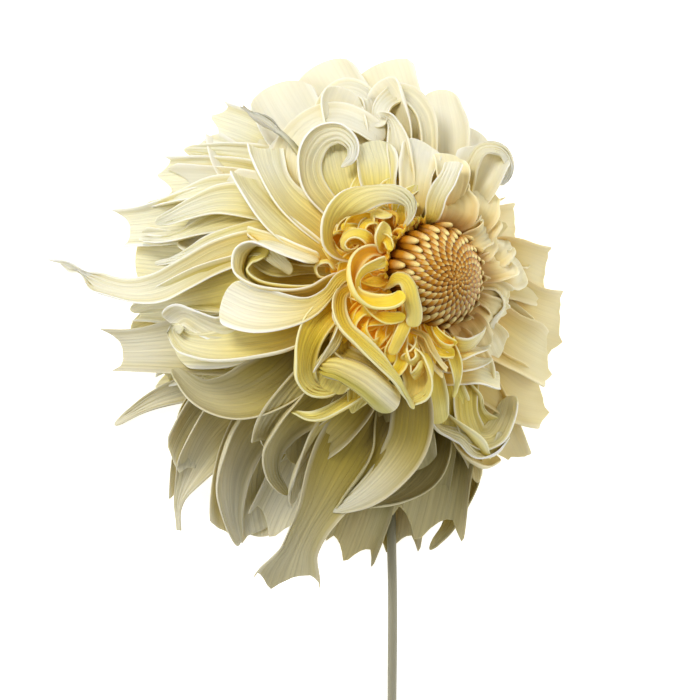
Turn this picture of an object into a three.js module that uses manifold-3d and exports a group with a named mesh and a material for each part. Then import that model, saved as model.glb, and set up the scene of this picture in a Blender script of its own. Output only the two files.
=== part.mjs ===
// A double dahlia blossom on a cut stem, lying on a table. Millimetres, +Z up, +Y away from the stem.
// The head leans to +X. Every ray petal is a closed ribbon that follows its own hand-set route.
import * as THREE from 'three';
import { mergeVertices } from 'three/addons/utils/BufferGeometryUtils.js';
import Module from 'manifold-3d';

// ---------------------------------------------------------------- driving dimensions
const HEAD_LEAN = 35; // degrees between the flower's axis and the vertical
const HEAD_HEIGHT = 60; // disc base centre above the table
const DISC_RADIUS = 18.7;
const FLORET_RELIEF = 0.9; // depth of the grooves between the disc florets
const RECEPTACLE_LENGTH = 28;
const CROWN = { x: -20, y: -10, top: 80, radius: 80 }; // dome that the petal routes are measured down from
const PETAL_THICKNESS = 0.6;
const CLAW_SHARE = 0.25; // width of a petal's foot, as a share of its full width
const STEM_DIAMETER = 3.2;
const BRACT = { width: 8, thickness: 1, count: 5 };
const GAP = 0.3; // left between pieces that touch
const CELL = 8; // length of one ribbon cell along a petal
const CELLS_ACROSS = 4;

const AXIS = new THREE.Vector3(
  Math.sin(THREE.MathUtils.degToRad(HEAD_LEAN)),
  0,
  Math.cos(THREE.MathUtils.degToRad(HEAD_LEAN)),
);
const BASE = new THREE.Vector3(0, 0, HEAD_HEIGHT);

// ---------------------------------------------------------------- petal table
const face = (...directions) => ({ kind: 'face', directions });
const side = (...directions) => ({ kind: 'side', directions });

// foot: height on the receptacle (0 = disc base), route: [x, y, depth below the crown dome],
// facing: where the petal's face (or its side) points, from a third of its length to the tip,
// cup: how far the cross-section is bent, in degrees.
const ray = (foot, route, width, facing, cup, outline) => ({ foot, route, width, facing, cup, outline });

const PETALS = {
  // front left and centre
  white_blade: ray(-3, [[-28, 0, 5], [-33, -6, 3], [-39, -10.5, 1], [-48, -12, 0], [-58, -11, 1],
    [-67.5, -7, 4]], 15, face([0, 0.25, 1], [-0.1, 0.1, 1]), 35, 'paddle'),
  scroll_left: ray(-4, [[-30, -1, 6], [-38, -5, 5], [-48, -6, 4], [-57, -4, 5], [-62, 1, 6],
    [-61, 8, 6], [-56, 11.5, 4], [-48, 9.5, 2], [-41, 6.5, 2], [-36.5, 4, 3]], 10,
    side([-0.1, 0.45, 1], [0, 0.5, 1], [0, -0.7, 1]), 12, 'strap'),
  tongue_left: ray(-5, [[-30, 2, 13], [-40, 3, 14], [-52, 4, 14], [-57.5, 8, 12], [-54, 9.5, 8],
    [-49, 5, 7], [-45.5, 1, 7]], 7, side([0, 0.5, 1], [0.5, 0.6, 0.7]), 20, 'strap'),
  pair_low: ray(-8, [[-33, 6, 10], [-42, 11, 8], [-51, 18, 7], [-58, 26, 7], [-64, 34, 10]], 12,
    face([0.5, 0.4, 1], [0.7, 0.3, 0.8]), 50, 'round'),
  pair_high: ray(-9, [[-30, 11, 14], [-38, 17, 13], [-46, 24, 12], [-52, 33, 12], [-56, 43, 15]],
    13, face([0.6, 0.2, 1], [0.5, -0.2, 1]), 60, 'square'),
  spiral: ray(-6, [[-26, 17, 17], [-33, 23, 13], [-39, 31, 11], [-40, 40, 10], [-35.5, 47, 10],
    [-29, 48.5, 10], [-24.5, 44.5, 10], [-25, 39, 10], [-28.5, 36, 10]], 10,
    side([-0.85, -0.2, 0.5], [-0.6, 0.65, 0.5], [0.75, 0.45, 0.5], [0.3, -0.8, 0.5]), 50, 'leaf'),
  outer_arch: ray(-10, [[-27, 17, 22], [-38, 24, 19], [-45, 33, 17], [-45.5, 43, 17],
    [-39.5, 51, 16], [-31, 54, 16], [-22, 51, 17], [-15, 45, 20]], 12, side([0.6, 0, 0.7],
    [0.5, -0.4, 0.7], [0, -0.7, 0.7], [-0.5, -0.5, 0.7]), 50, 'strap'),
  quill: ray(-12, [[-32, 25, 26], [-41, 39, 16], [-46, 45.5, 10], [-49.5, 48.5, 8], [-55, 52.5, 7],
    [-62, 57, 8]], 7, face([0.3, 0.5, 1], [0.2, 0.6, 1]), 120, 'quill'),
  arch_over_disc: ray(-2, [[-27, 5, 7], [-32, 11, 2], [-31.5, 18, -2], [-26, 24, -4],
    [-18, 27.5, -4], [-10.5, 27.3, -2], [-6, 24, 0], [-6.2, 20, 2.5], [-9, 16.8, 6]], 9.5,
    face([-0.8, 0.2, -0.2], [0, -0.5, -1], [0.6, -0.4, -0.6]), 50, 'leaf'),
  // yellow centre
  swoop: ray(-1, [[-16, 8, 6], [-19.5, 8.6, 0], [-23, 6.8, -2], [-25.4, 3, -3], [-26, -2, -4],
    [-24, -6.8, -4], [-19.5, -9.4, -3], [-14, -9.4, -3], [-9.5, -8.2, -4.5], [-7, -6, -6]], 8.5,
    face([0.8, 0, 0.7], [0.7, 0.8, 0.6], [-0.5, 0.5, 1]), 110, 'strap'),
  disc_fold: ray(-1, [[-14, -5, 8], [-12.6, -2.2, 2], [-10.6, -0.6, -1.5], [-8, -0.8, -3],
    [-6, -3.6, -3.5], [-5.2, -8, -3], [-4.4, -12.5, -2], [-5, -16.5, 0]], 6, face([0, 0.4, 1],
    [0.3, 0.1, 1], [0.2, -0.1, 1]), -70, 'round'),
  ribbon_long: ray(-3, [[-28, -5, 5], [-29.5, -11, 1], [-27.5, -17, -1], [-22.5, -22, -2],
    [-16, -28, -2], [-10.5, -34, -2], [-7.5, -39, -1], [-5.5, -43.5, 2]], 7, side([-0.9, 0, 0.6],
    [-0.5, -0.6, 0.8], [-0.6, -0.2, 0.9]), 40, 'leaf'),
  cup_low: ray(-4, [[-7, -22, 8], [-1, -27, 4], [1, -33, 2], [-1, -39, 2], [-6, -40.5, 4]], 7,
    side([0.3, -0.3, 1], [0, -0.5, 1]), 30, 'strap'),
  front_blade: ray(-4, [[-27, -18, 12], [-32.5, -25, 7], [-35.5, -29.5, 2], [-30, -31, -2],
    [-22, -35, -3], [-15.5, -40, -2], [-10.5, -44.5, 1]], 12, side([0.6, 0.5, 0.8],
    [0.65, 0.7, 0.35], [0.65, 0.7, 0.2]), 90, 'paddle'),
  loop_low: ray(-6, [[-29, -10, 8], [-34, -13, 4], [-38, -18, 2], [-41, -25, 2], [-41.5, -32, 3],
    [-38.5, -37, 5], [-32.5, -38.5, 8], [-27, -36.5, 11]], 10, face([0.3, 0.3, 1], [0.5, 0.2, 0.8],
    [0.3, 0.9, 0.4]), 60, 'leaf'),
  // left
  scoop: ray(-8, [[-34, -15, 11], [-46, -21, 9], [-60, -23.5, 8], [-73, -24, 8], [-81.5, -21.5, 8],
    [-84, -17, 7], [-80, -15, 7]], 17, side([0, -0.75, 0.65], [0, -0.75, 0.65], [-0.1, -0.75, 0.65],
    [0.3, 0.75, 0.65]), 60, 'leaf'),
  bowl_low: ray(-12, [[-38, -24, 22], [-50, -35, 19], [-62, -41, 17], [-75, -40, 16],
    [-86, -31, 18]], 22, face([0.3, 0.4, 0.9], [0.2, 0.7, 0.8]), 75, 'leaf'),
  flat_left: ray(-12, [[-38, 0, 22], [-55, 0, 19], [-70, -3, 18], [-86, -7, 20], [-100, -10, 25]],
    18, face([0.3, -0.3, 1], [0.2, -0.5, 1]), 20, 'leaf'),
  long_left: ray(-11, [[-38, 7, 18], [-55, 11, 14], [-68, 7.5, 12], [-80, 1.5, 12], [-91, -3.5, 13],
    [-101, -4.5, 13], [-111, -2, 10], [-118, 3, 4], [-127, 8, 0]], 11, face([0.3, 0.2, 1],
    [0.3, 0.3, 1], [0.2, 0.5, 0.9], [0.2, -0.9, 0.4]), 40, 'neck'),
  fan_1: ray(-12, [[-38, 11, 22], [-55, 15.5, 17], [-70, 12, 16], [-82, 7, 18], [-91, 4, 22]], 9,
    face([0.3, 0.5, 1], [0.3, 0.6, 1]), 50, 'leaf'),
  bat_left: ray(-17, [[-38, 12, 36], [-58, 18, 32], [-78, 20, 30], [-92, 18.5, 30],
    [-106, 17.5, 30]], 25, face([0.3, 0.1, 1], [0.1, 0, 1]), 30, 'bat'),
  back_left: ray(-17, [[-36, 22, 40], [-55, 31, 37], [-74, 35, 36], [-92, 34.5, 34]], 14,
    face([0.3, 0, 1], [0.1, 0, 1]), 25, 'tooth'),
  back_high_left: ray(-17, [[-32, 30, 40], [-45, 42, 37], [-60, 50, 35], [-74, 55, 33]], 14,
    face([0.3, 0, 1], [0, 0, 1]), 25, 'tooth'),
  low_left_fork: ray(-17, [[-38, -12, 34], [-58, -18, 30], [-78, -22, 28], [-94, -23.5, 26],
    [-109, -24, 22]], 26, face([0.3, 0, 1], [0.2, 0, 1]), 30, 'bat'),
  low_left_roll: ray(-18, [[-40, -20, 44], [-60, -30, 42], [-80, -37, 38], [-95, -43, 32],
    [-106, -50, 24]], 13, face([0.3, 0, 1], [0.2, 0.4, 1]), 90, 'leaf'),
  // hanging
  hang_left: ray(-18, [[-42, -28, 44], [-62, -36, 41], [-77, -45, 36], [-84, -60, 29],
    [-88, -75, 23]], 17, face([0.3, 0.3, 1], [0.8, 0.1, 0.8]), 50, 'leaf'),
  hang_twisted: ray(-16, [[-40, -28, 38], [-58, -40, 34], [-72, -53, 30], [-80, -67, 26],
    [-84, -77, 20], [-83.5, -86, 14]], 22, face([0.3, 0.2, 1], [0.5, 0.1, 1], [-0.7, 0, 0.7]), 40,
    'point'),
  broad_leaf: ray(-13, [[-38, -30, 34], [-50, -42, 30], [-61, -52, 25], [-66.5, -66, 20],
    [-66.5, -79, 18], [-64, -91, 16]], 19, face([0.5, 0.2, 1], [0.7, 0.1, 0.9], [0.5, 0, 1]), 70,
    'leaf'),
  strap_low: ray(-9, [[-30, -22, 16], [-38, -30, 12], [-45, -37, 11], [-52, -46, 11],
    [-56.5, -54, 13]], 9, face([0.5, 0.3, 1], [0.6, 0.2, 0.9]), 45, 'square'),
  curve_low: ray(-11, [[-26, -28, 22], [-36, -40, 18], [-46, -48, 15], [-52, -57, 14],
    [-52, -66, 15], [-47.5, -73, 18]], 14, face([0.4, 0.3, 1], [0.8, 0.1, 0.8], [0.5, -0.2, 0.8]),
    70, 'leaf'),
  crescent: ray(-8, [[-16, -28, 16], [-22, -38, 12], [-29, -43.5, 9], [-37, -47, 8],
    [-45.5, -45.5, 10]], 8, face([0, 1, 0.6], [0.1, 1, 0.8]), 40, 'leaf'),
  great_hanging: ray(-14, [[-12, -32, 30], [-18, -46, 25], [-27, -61, 20], [-35, -75, 15],
    [-41.5, -87, 8], [-49, -107, 0]], 26, face([0.3, 0.3, 1], [0.5, 0.1, 1], [0, -0.1, 1]), 50,
    'great'),
  striped: ray(-10, [[-6, -32, 20], [-5, -44, 15], [-6.5, -55, 13], [-12, -64, 13],
    [-20, -72, 12.4], [-31, -79, 15.4]], 14, face([-0.4, 0.2, 1], [-0.2, 0.4, 1]), -45, 'leaf'),
  // low right
  olive_cup: ray(-16, [[0, -34, 40], [3, -50, 36], [1, -64, 30], [-8, -73, 27], [-22, -78, 26]], 18,
    face([-0.4, 0.3, 1], [-0.4, 0.7, 0.8]), 50, 'leaf'),
  olive_great: ray(-18, [[2, -34, 48], [5, -52, 46], [3, -70, 38], [-2, -91, 22]], 24,
    face([0, 0.2, 1], [0, 0, 1]), 25, 'tooth'),
  ragged_low: ray(-19, [[-10, -36, 56], [-14, -56, 54], [-19, -76, 44], [-27, -98, 26]], 17,
    face([0, 0.2, 1], [0, 0, 1]), 25, 'tooth'),
  ruffle: ray(-12, [[4, -28, 30], [9, -40, 27], [14, -50, 25], [18.5, -58, 27]], 18,
    face([-0.1, 0.4, 1], [0, 0.8, 0.8]), 120, 'square'),
  low_right_tip: ray(-15, [[6, -30, 38], [12, -44, 37], [16, -57, 34], [18, -69, 34]], 14,
    face([-0.3, 0.3, 1], [-0.3, 0.4, 1]), 60, 'leaf'),
  right_low: ray(-15, [[9, -25, 40], [18, -38, 40], [25, -50, 40], [32, -62, 42]], 17,
    face([-0.4, 0.2, 1], [-0.5, 0.3, 1]), 50, 'lobe'),
  // right
  right_fold: ray(-12, [[14, 4, 32], [24, 4, 34], [34, 2, 38], [42, -1, 46]], 20, face([-0.2, 0, 1],
    [0.3, 0, 1]), 30, 'lobe'),
  right_point: ray(-13, [[14, -5, 38], [25, -9, 41], [36, -14, 46], [48, -18, 52]], 22,
    face([-0.2, 0.1, 1], [0.2, 0.1, 1]), 30, 'lobe'),
  right_broad: ray(-11, [[12, -12, 28], [22, -18, 30], [33, -25, 34], [43, -30, 40]], 19,
    face([-0.1, 0.3, 1], [0.2, 0.3, 1]), 50, 'lobe'),
  right_back: ray(-14, [[12, 8, 40], [19, 12, 43], [26, 15, 50], [32, 15.5, 58]], 20,
    face([0.2, -0.1, 1], [0.6, 0, 0.8]), 30, 'lobe'),
  right_hook: ray(-8, [[9, 17, 28], [13, 26, 24], [18, 35, 21], [21.5, 44, 22]], 17,
    face([-0.2, 0.1, 1], [-0.1, 0.2, 1]), 25, 'round'),
  // top
  top_tab: ray(-3, [[1.5, 20, 9], [3.5, 26, 5], [6.5, 32, 4], [9.5, 37.5, 5]], 7.5,
    face([-0.3, 0, 1], [-0.4, 0, 1]), 40, 'square'),
  top_right: ray(-12, [[4, 20, 32], [6, 36, 32], [7, 50, 33], [5, 64, 34]], 15, face([0, -0.2, 1],
    [0, -0.1, 1]), 35, 'strap'),
  top_crown: ray(-14, [[-8, 21, 38], [-10, 40, 38], [-12, 58, 38], [-16, 73, 36]], 24,
    face([0, -0.2, 1], [-0.2, 0, 1]), 45, 'round'),
  top_left_round: ray(-14, [[-22, 20, 38], [-34, 38, 36], [-45, 52, 32], [-53, 65, 28]], 22,
    face([0.2, -0.1, 1], [0.2, 0, 1]), 40, 'round'),
  top_curl: ray(-9, [[-17, 21, 24], [-23, 35, 24], [-27, 47, 22], [-29, 57, 19], [-27, 63.5, 16]],
    17, face([0.1, -0.2, 1], [0.1, -0.3, 1]), 80, 'round'),
  top_loop: ray(-7, [[-9, 21, 20], [-10.5, 36, 21], [-10.5, 50, 21], [-12, 60, 19], [-16, 66, 16]],
    17, face([0, -0.2, 1], [-0.2, -0.3, 1]), 85, 'round'),
  // under the head, folded back towards the stem
  under_left: ray(-20, [[-34, 6, 48], [-54, 5, 52], [-74, 3, 48], [-90, 2, 42]], 16,
    face([0.3, 0, 1], [0.1, 0, 1]), 30, 'tooth'),
  under_low: ray(-20, [[-24, -24, 52], [-38, -44, 56], [-50, -62, 52], [-58, -76, 42]], 16,
    face([0.1, 0.2, 1], [0.1, 0.1, 1]), 30, 'tooth'),
};

// ---------------------------------------------------------------- petal geometry
const smooth = (a, b, x) => THREE.MathUtils.smoothstep(x, a, b);

// Depth below the crown dome turned into a height above the table.
function fromCrown([x, y, depth]) {
  const away = (x - CROWN.x) ** 2 + (y - CROWN.y) ** 2;
  return new THREE.Vector3(x, y, CROWN.top - away / (2 * CROWN.radius) - depth);
}

const receptacleRadius = (height) => (
  17.2 * Math.sqrt(Math.max(0.03, 1 - (-height / RECEPTACLE_LENGTH) ** 2.4)));

// A petal's foot sits on the receptacle, in the direction of its first route point.
function footPoint(height, towards) {
  const out = towards.clone().sub(BASE);
  out.addScaledVector(AXIS, -out.dot(AXIS)).normalize();
  return BASE.clone()
    .addScaledVector(AXIS, height)
    .addScaledVector(out, receptacleRadius(height) + GAP);
}

// Share of the full width at t along the petal.
function widthShare(outline, t) {
  const claw = CLAW_SHARE + (1 - CLAW_SHARE) * smooth(0, 0.42, t);
  if (outline === 'leaf') return claw * (1 - 0.78 * smooth(0.5, 1.05, t) ** 1.2);
  if (outline === 'point') return claw * (1 - 0.9 * smooth(0.55, 1.0, t));
  if (outline === 'round') return claw * (0.8 + 0.2 * smooth(0.4, 0.75, t));
  if (outline === 'great') return claw * (1 - 0.52 * smooth(0.42, 0.77, t) + 0.34 * smooth(0.79, 0.92, t));
  if (outline === 'bat') return claw * (1 - 0.5 * smooth(0.35, 0.95, t));
  if (outline === 'quill') return 0.4 + 0.6 * smooth(0.72, 0.82, t) - 0.9 * smooth(0.84, 1.0, t);
  if (outline === 'strap') return claw * (1 - 0.18 * smooth(0.7, 1.0, t));
  if (outline === 'paddle') return CLAW_SHARE + (1 - CLAW_SHARE) * smooth(0.3, 0.75, t);
  if (outline === 'neck') {
    return claw * (1 - 0.35 * smooth(0.5, 0.85, t)) * (1 - 0.6 * Math.exp(-(((t - 0.89) / 0.04) ** 2)));
  }
  return claw;
}

// Ragged tips: the depth between the points, and each point's place across, set-back and reach.
const POINTS = {
  tooth: [0.42, [[-0.92, 0.15, 0.75], [0.1, 0, 0.75], [0.96, 0.28, 0.7]]],
  bat: [0.24, [[-1, 0.12, 1], [0.97, 0, 0.95]]],
  great: [0.42, [[-1, 0.33, 0.8], [0.35, 0, 1.2], [1, 0.22, 0.6]]],
};

// How far the tip is set back at v across the petal, as a share of its width.
function tipSetback(outline, v) {
  if (outline in POINTS) {
    const [depth, points] = POINTS[outline];
    return Math.min(...points.map(([at, base, reach]) => (
      base + depth * (1 - (1 - Math.min(Math.abs(v - at) / reach, 1)) ** 2))));
  }
  if (outline === 'lobe') return 0.14 + 0.3 * v * v;
  if (outline === 'square' || outline === 'neck') return 0.16 * v ** 4;
  if (outline === 'point' || outline === 'quill') return 0;
  return 0.48 * (1 - Math.sqrt(1 - 0.96 * v * v));
}

// Centre, side and face direction at each step along a route: the frame is carried along without
// twisting and then turned to the facings set in the table.
function framesAlong(curve, steps, facing) {
  const frames = [];
  let normal = AXIS.clone();
  for (let i = 0; i <= steps; i += 1) {
    const tangent = curve.getTangentAt(i / steps);
    normal = normal.clone().addScaledVector(tangent, -normal.dot(tangent)).normalize();
    frames.push({ centre: curve.getPointAt(i / steps), tangent, normal });
  }
  const stops = [[0, 0]];
  let sign = 0;
  facing.directions.forEach((direction, k) => {
    const t = facing.directions.length === 1 ? 1 : 0.34 + (0.66 * k) / (facing.directions.length - 1);
    const { tangent, normal: carried } = frames[Math.round(t * steps)];
    const wanted = new THREE.Vector3(...direction);
    if (facing.kind === 'side') wanted.cross(tangent);
    if (sign === 0) sign = facing.kind === 'side' && wanted.dot(carried) < 0 ? -1 : 1;
    wanted.multiplyScalar(sign);
    const across = tangent.clone().cross(carried);
    let angle = Math.atan2(wanted.dot(across), wanted.dot(carried));
    const before = stops[stops.length - 1][1];
    angle -= 2 * Math.PI * Math.round((angle - before) / (2 * Math.PI));
    stops.push([t, angle]);
  });
  return frames.map(({ centre, tangent, normal: carried }, i) => {
    const t = i / steps;
    let k = 1;
    while (k < stops.length - 1 && t > stops[k][0]) k += 1;
    const share = smooth(stops[k - 1][0], stops[k][0], t);
    const angle = stops[k - 1][1] + (stops[k][1] - stops[k - 1][1]) * share;
    const turned = carried.clone().applyAxisAngle(tangent, angle);
    return { centre, normal: turned, across: tangent.clone().cross(turned) };
  });
}

// A closed ribbon: front and back skins joined round the edge. grow makes a larger copy for cutting.
function ribbon(points, width, facing, cup, outline, thickness, grow = 0) {
  const curve = new THREE.CatmullRomCurve3(points, false, 'centripetal');
  const length = curve.getLength();
  const steps = Math.max(6, Math.round(length / CELL));
  const fine = steps * 8;
  const frames = framesAlong(curve, fine, facing);
  const bend = THREE.MathUtils.degToRad(cup) / 2;
  const rows = [];
  for (let i = 0; i <= steps; i += 1) {
    const row = [];
    for (let j = 0; j <= CELLS_ACROSS; j += 1) {
      const v = (2 * j) / CELLS_ACROSS - 1;
      const u = i / steps;
      const t = u - (tipSetback(outline, v) * width * u ** 4) / length;
      const frame = frames[Math.round(t * fine)];
      const half = (width / 2) * widthShare(outline, t) + grow;
      const turn = v * bend;
      const radius = bend === 0 ? 0 : half / Math.abs(bend);
      const sideways = bend === 0 ? v * half : (radius * Math.sin(Math.abs(bend) * v));
      const lift = bend === 0 ? 0 : Math.sign(bend) * radius * (1 - Math.cos(turn));
      const mid = frame.centre.clone()
        .addScaledVector(frame.across, sideways)
        .addScaledVector(frame.normal, lift);
      const out = frame.normal.clone().multiplyScalar(Math.cos(turn))
        .addScaledVector(frame.across, -Math.sin(turn));
      row.push({ mid, out });
    }
    rows.push(row);
  }
  const ends = [rows[0], rows[steps]];
  const inner = [rows[1], rows[steps - 1]];
  ends.forEach((row, e) => row.forEach((cell, j) => {
    const outwards = cell.mid.clone().sub(inner[e][j].mid).normalize();
    cell.mid.addScaledVector(outwards, grow);
  }));
  return closedGrid(rows, thickness / 2 + grow);
}

// Front and back skins of a grid of points with directions, joined round the edge.
function closedGrid(rows, half) {
  const position = [];
  for (const sign of [1, -1]) {
    for (const row of rows) {
      for (const { mid, out } of row) {
        position.push(...mid.clone().addScaledVector(out, sign * half).toArray());
      }
    }
  }
  const columns = rows[0].length;
  const back = rows.length * columns;
  const index = [];
  const quad = (a, b, c, d) => index.push(a, b, c, a, c, d);
  for (let i = 0; i < rows.length - 1; i += 1) {
    for (let j = 0; j < columns - 1; j += 1) {
      const a = i * columns + j;
      const b = a + columns;
      quad(a, a + 1, b + 1, b);
      quad(back + a, back + b, back + b + 1, back + a + 1);
    }
    const left = i * columns;
    const right = left + columns - 1;
    quad(left, left + columns, back + left + columns, back + left);
    quad(right, back + right, back + right + columns, right + columns);
  }
  for (let j = 0; j < columns - 1; j += 1) {
    const last = (rows.length - 1) * columns + j;
    quad(j, back + j, back + j + 1, j + 1);
    quad(last, last + 1, back + last + 1, back + last);
  }
  const geometry = new THREE.BufferGeometry();
  geometry.setAttribute('position', new THREE.Float32BufferAttribute(position, 3));
  geometry.setIndex(index);
  return geometry;
}

function petalGeometry(petal, grow = 0) {
  const route = petal.route.map(fromCrown);
  const points = [footPoint(petal.foot, route[0]), ...route];
  return ribbon(points, petal.width, petal.facing, petal.cup, petal.outline, PETAL_THICKNESS, grow);
}

// ---------------------------------------------------------------- head and stem
// Turns a profile of [radius, height] round the flower's axis.
function turned(profile, sides) {
  const geometry = new THREE.LatheGeometry(profile.map(([r, h]) => new THREE.Vector2(r, h)), sides);
  const upright = new THREE.Vector3(0, 1, 0);
  geometry.applyQuaternion(new THREE.Quaternion().setFromUnitVectors(upright, AXIS));
  geometry.translate(BASE.x, BASE.y, BASE.z);
  return geometry;
}

// The disc: a dome covered in closed florets that run in curved ropes from rim to pole.
function discGeometry() {
  const profile = [[0, GAP], [DISC_RADIUS, GAP]];
  for (let i = 1; i < 14; i += 1) {
    const angle = (i / 14) * (Math.PI / 2);
    profile.push([DISC_RADIUS * Math.cos(angle), GAP + DISC_RADIUS * Math.sin(angle)]);
  }
  profile.push([0, GAP + DISC_RADIUS]);
  const dome = turned(profile, 42);
  const position = dome.getAttribute('position');
  const centre = BASE.clone().addScaledVector(AXIS, GAP);
  const point = new THREE.Vector3();
  for (let i = 0; i < position.count; i += 1) {
    point.fromBufferAttribute(position, i).sub(centre);
    const height = point.dot(AXIS);
    const latitude = Math.asin(THREE.MathUtils.clamp(height / Math.max(point.length(), 1e-6), 0, 1));
    const out = point.clone().addScaledVector(AXIS, -height);
    const azimuth = Math.atan2(out.y, out.dot(new THREE.Vector3(AXIS.z, 0, -AXIS.x)));
    const rope = 0.5 - 0.5 * Math.cos(14 * azimuth + 9 * latitude);
    const fade = smooth(0.02, 0.3, latitude) * (1 - smooth(1.1, 1.5, latitude));
    const length = point.length();
    if (length > 1) point.multiplyScalar((length - FLORET_RELIEF * rope * fade) / length);
    position.setXYZ(i, ...point.add(centre).toArray());
  }
  return dome;
}

function receptacleGeometry() {
  const profile = [[0, -RECEPTACLE_LENGTH]];
  for (const share of [1, 0.96, 0.88, 0.74, 0.58, 0.4, 0.2, 0]) {
    profile.push([receptacleRadius(-share * RECEPTACLE_LENGTH), -share * RECEPTACLE_LENGTH]);
  }
  profile.push([0, 0]);
  return turned(profile, 28);
}

// Bracts stand round the back of the receptacle and bend back.
function bractGeometry(number, grow = 0) {
  const turn = ((number + 0.25) / BRACT.count) * 2 * Math.PI;
  const out = new THREE.Vector3(AXIS.z, 0, -AXIS.x).multiplyScalar(Math.cos(turn));
  out.add(new THREE.Vector3(0, Math.sin(turn), 0));
  const route = [[9.8, -24.5], [13.5, -27.5], [16.5, -31.5], [17.5, -37], [16.5, -42]];
  const points = route.map(([away, height]) => (
    BASE.clone().addScaledVector(out, away).addScaledVector(AXIS, height)));
  const facing = face(out.clone().addScaledVector(AXIS, 0.4).toArray());
  return ribbon(points, BRACT.width, facing, 40, 'leaf', BRACT.thickness, grow);
}

// A round rod along a route, closed at both ends.
function rod(points, radius, sides, steps) {
  const curve = new THREE.CatmullRomCurve3(points, false, 'centripetal');
  const position = [];
  const index = [];
  const across = new THREE.Vector3(1, 0, 0.2).normalize();
  for (let i = 0; i <= steps; i += 1) {
    const centre = curve.getPointAt(i / steps);
    const tangent = curve.getTangentAt(i / steps);
    const one = across.clone().addScaledVector(tangent, -across.dot(tangent)).normalize();
    const two = tangent.clone().cross(one);
    for (let j = 0; j < sides; j += 1) {
      const angle = (j / sides) * 2 * Math.PI;
      position.push(...centre.clone()
        .addScaledVector(one, radius(i / steps) * Math.cos(angle))
        .addScaledVector(two, radius(i / steps) * Math.sin(angle)).toArray());
    }
  }
  const ring = (i, j) => i * sides + (j % sides);
  for (let i = 0; i < steps; i += 1) {
    for (let j = 0; j < sides; j += 1) {
      index.push(ring(i, j), ring(i, j + 1), ring(i + 1, j + 1));
      index.push(ring(i, j), ring(i + 1, j + 1), ring(i + 1, j));
    }
  }
  for (let j = 1; j < sides - 1; j += 1) {
    index.push(ring(0, 0), ring(0, j + 1), ring(0, j));
    index.push(ring(steps, 0), ring(steps, j), ring(steps, j + 1));
  }
  const geometry = new THREE.BufferGeometry();
  geometry.setAttribute('position', new THREE.Float32BufferAttribute(position, 3));
  geometry.setIndex(index);
  return geometry;
}

function stemGeometry() {
  const start = BASE.clone().addScaledVector(AXIS, -RECEPTACLE_LENGTH - GAP);
  const points = [
    start,
    BASE.clone().addScaledVector(AXIS, -RECEPTACLE_LENGTH - 5),
    new THREE.Vector3(-22, -6, 21),
    new THREE.Vector3(-19, -24, 13),
    new THREE.Vector3(-13.5, -52, 9),
    new THREE.Vector3(-11.3, -98, 6),
    new THREE.Vector3(-11.3, -141, 3.5),
    new THREE.Vector3(-12, -200, STEM_DIAMETER / 2),
  ];
  const swelling = (t) => (STEM_DIAMETER / 2) * (1 + 0.35 * (1 - smooth(0, 0.06, t)));
  return rod(points, swelling, 10, 34);
}

// ---------------------------------------------------------------- materials
const surface = (name, color, roughness) => (
  Object.assign(new THREE.MeshStandardMaterial({ color, roughness, metalness: 0 }), { name }));
const MATERIALS = {
  petal: surface('petal', 0xf1ead0, 0.6),
  floret: surface('floret', 0xc8963f, 0.55),
  green: surface('green', 0x6f7f3c, 0.6),
  bract: surface('bract', 0x7f8a4a, 0.65),
};

// ---------------------------------------------------------------- assembly
const wasm = await Module();
wasm.setup();

function solid(geometry) {
  const bare = new THREE.BufferGeometry().setAttribute('position', geometry.getAttribute('position').clone());
  bare.setIndex(geometry.index);
  const merged = mergeVertices(bare, 1e-4);
  return new wasm.Manifold(new wasm.Mesh({
    numProp: 3,
    vertProperties: merged.getAttribute('position').array,
    triVerts: new Uint32Array(merged.index.array),
  }));
}

function backToGeometry(manifold) {
  const { vertProperties, triVerts } = manifold.getMesh();
  const geometry = new THREE.BufferGeometry();
  geometry.setAttribute('position', new THREE.Float32BufferAttribute(vertProperties, 3));
  geometry.setIndex([...triVerts]);
  return geometry;
}

const meets = (a, b) => [0, 1, 2].every((k) => a.min[k] <= b.max[k] && b.min[k] <= a.max[k]);

// Takes the grown copies of earlier pieces out of a piece and keeps its largest part.
function trimmed(piece, others) {
  const box = piece.boundingBox();
  let left = piece;
  let touched = false;
  for (const other of others) {
    if (!meets(box, other.boundingBox())) continue;
    const next = left.subtract(other);
    if (Math.abs(next.volume() - left.volume()) < 1e-6) continue;
    left = next;
    touched = true;
  }
  if (!touched) return left;
  const parts = left.decompose().sort((a, b) => b.volume() - a.volume());
  return parts[0].asOriginal().simplify(0.02);
}

function build() {
  const flower = new THREE.Group();
  flower.name = 'dahlia';
  const keepClear = [];
  const add = (name, geometry, material, grown) => {
    const piece = trimmed(solid(geometry), keepClear);
    const mesh = new THREE.Mesh(backToGeometry(piece), material);
    mesh.name = name;
    flower.add(mesh);
    keepClear.push(solid(grown ?? geometry));
  };
  add('receptacle', receptacleGeometry(), MATERIALS.green);
  add('disc', discGeometry(), MATERIALS.floret);
  add('stem', stemGeometry(), MATERIALS.green);
  for (let number = 0; number < BRACT.count; number += 1) {
    add(`bract_${number + 1}`, bractGeometry(number), MATERIALS.bract, bractGeometry(number, GAP));
  }
  for (const [name, petal] of Object.entries(PETALS)) {
    add(`petal_${name}`, petalGeometry(petal), MATERIALS.petal, petalGeometry(petal, GAP));
  }
  const box = new THREE.Box3().setFromObject(flower);
  const middle = box.getCenter(new THREE.Vector3());
  flower.position.set(-middle.x, -middle.y, -box.min.z);
  return flower;
}

export default build();
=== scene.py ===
"""Double dahlia blossom on a cut stem, lying on a pale table and seen from straight above.

Lengths are millimetres: x to the right of the picture and y up it, from the centre of the disc's base, and z
up from the table. to_frame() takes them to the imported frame, in metres.
"""
import math

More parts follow.
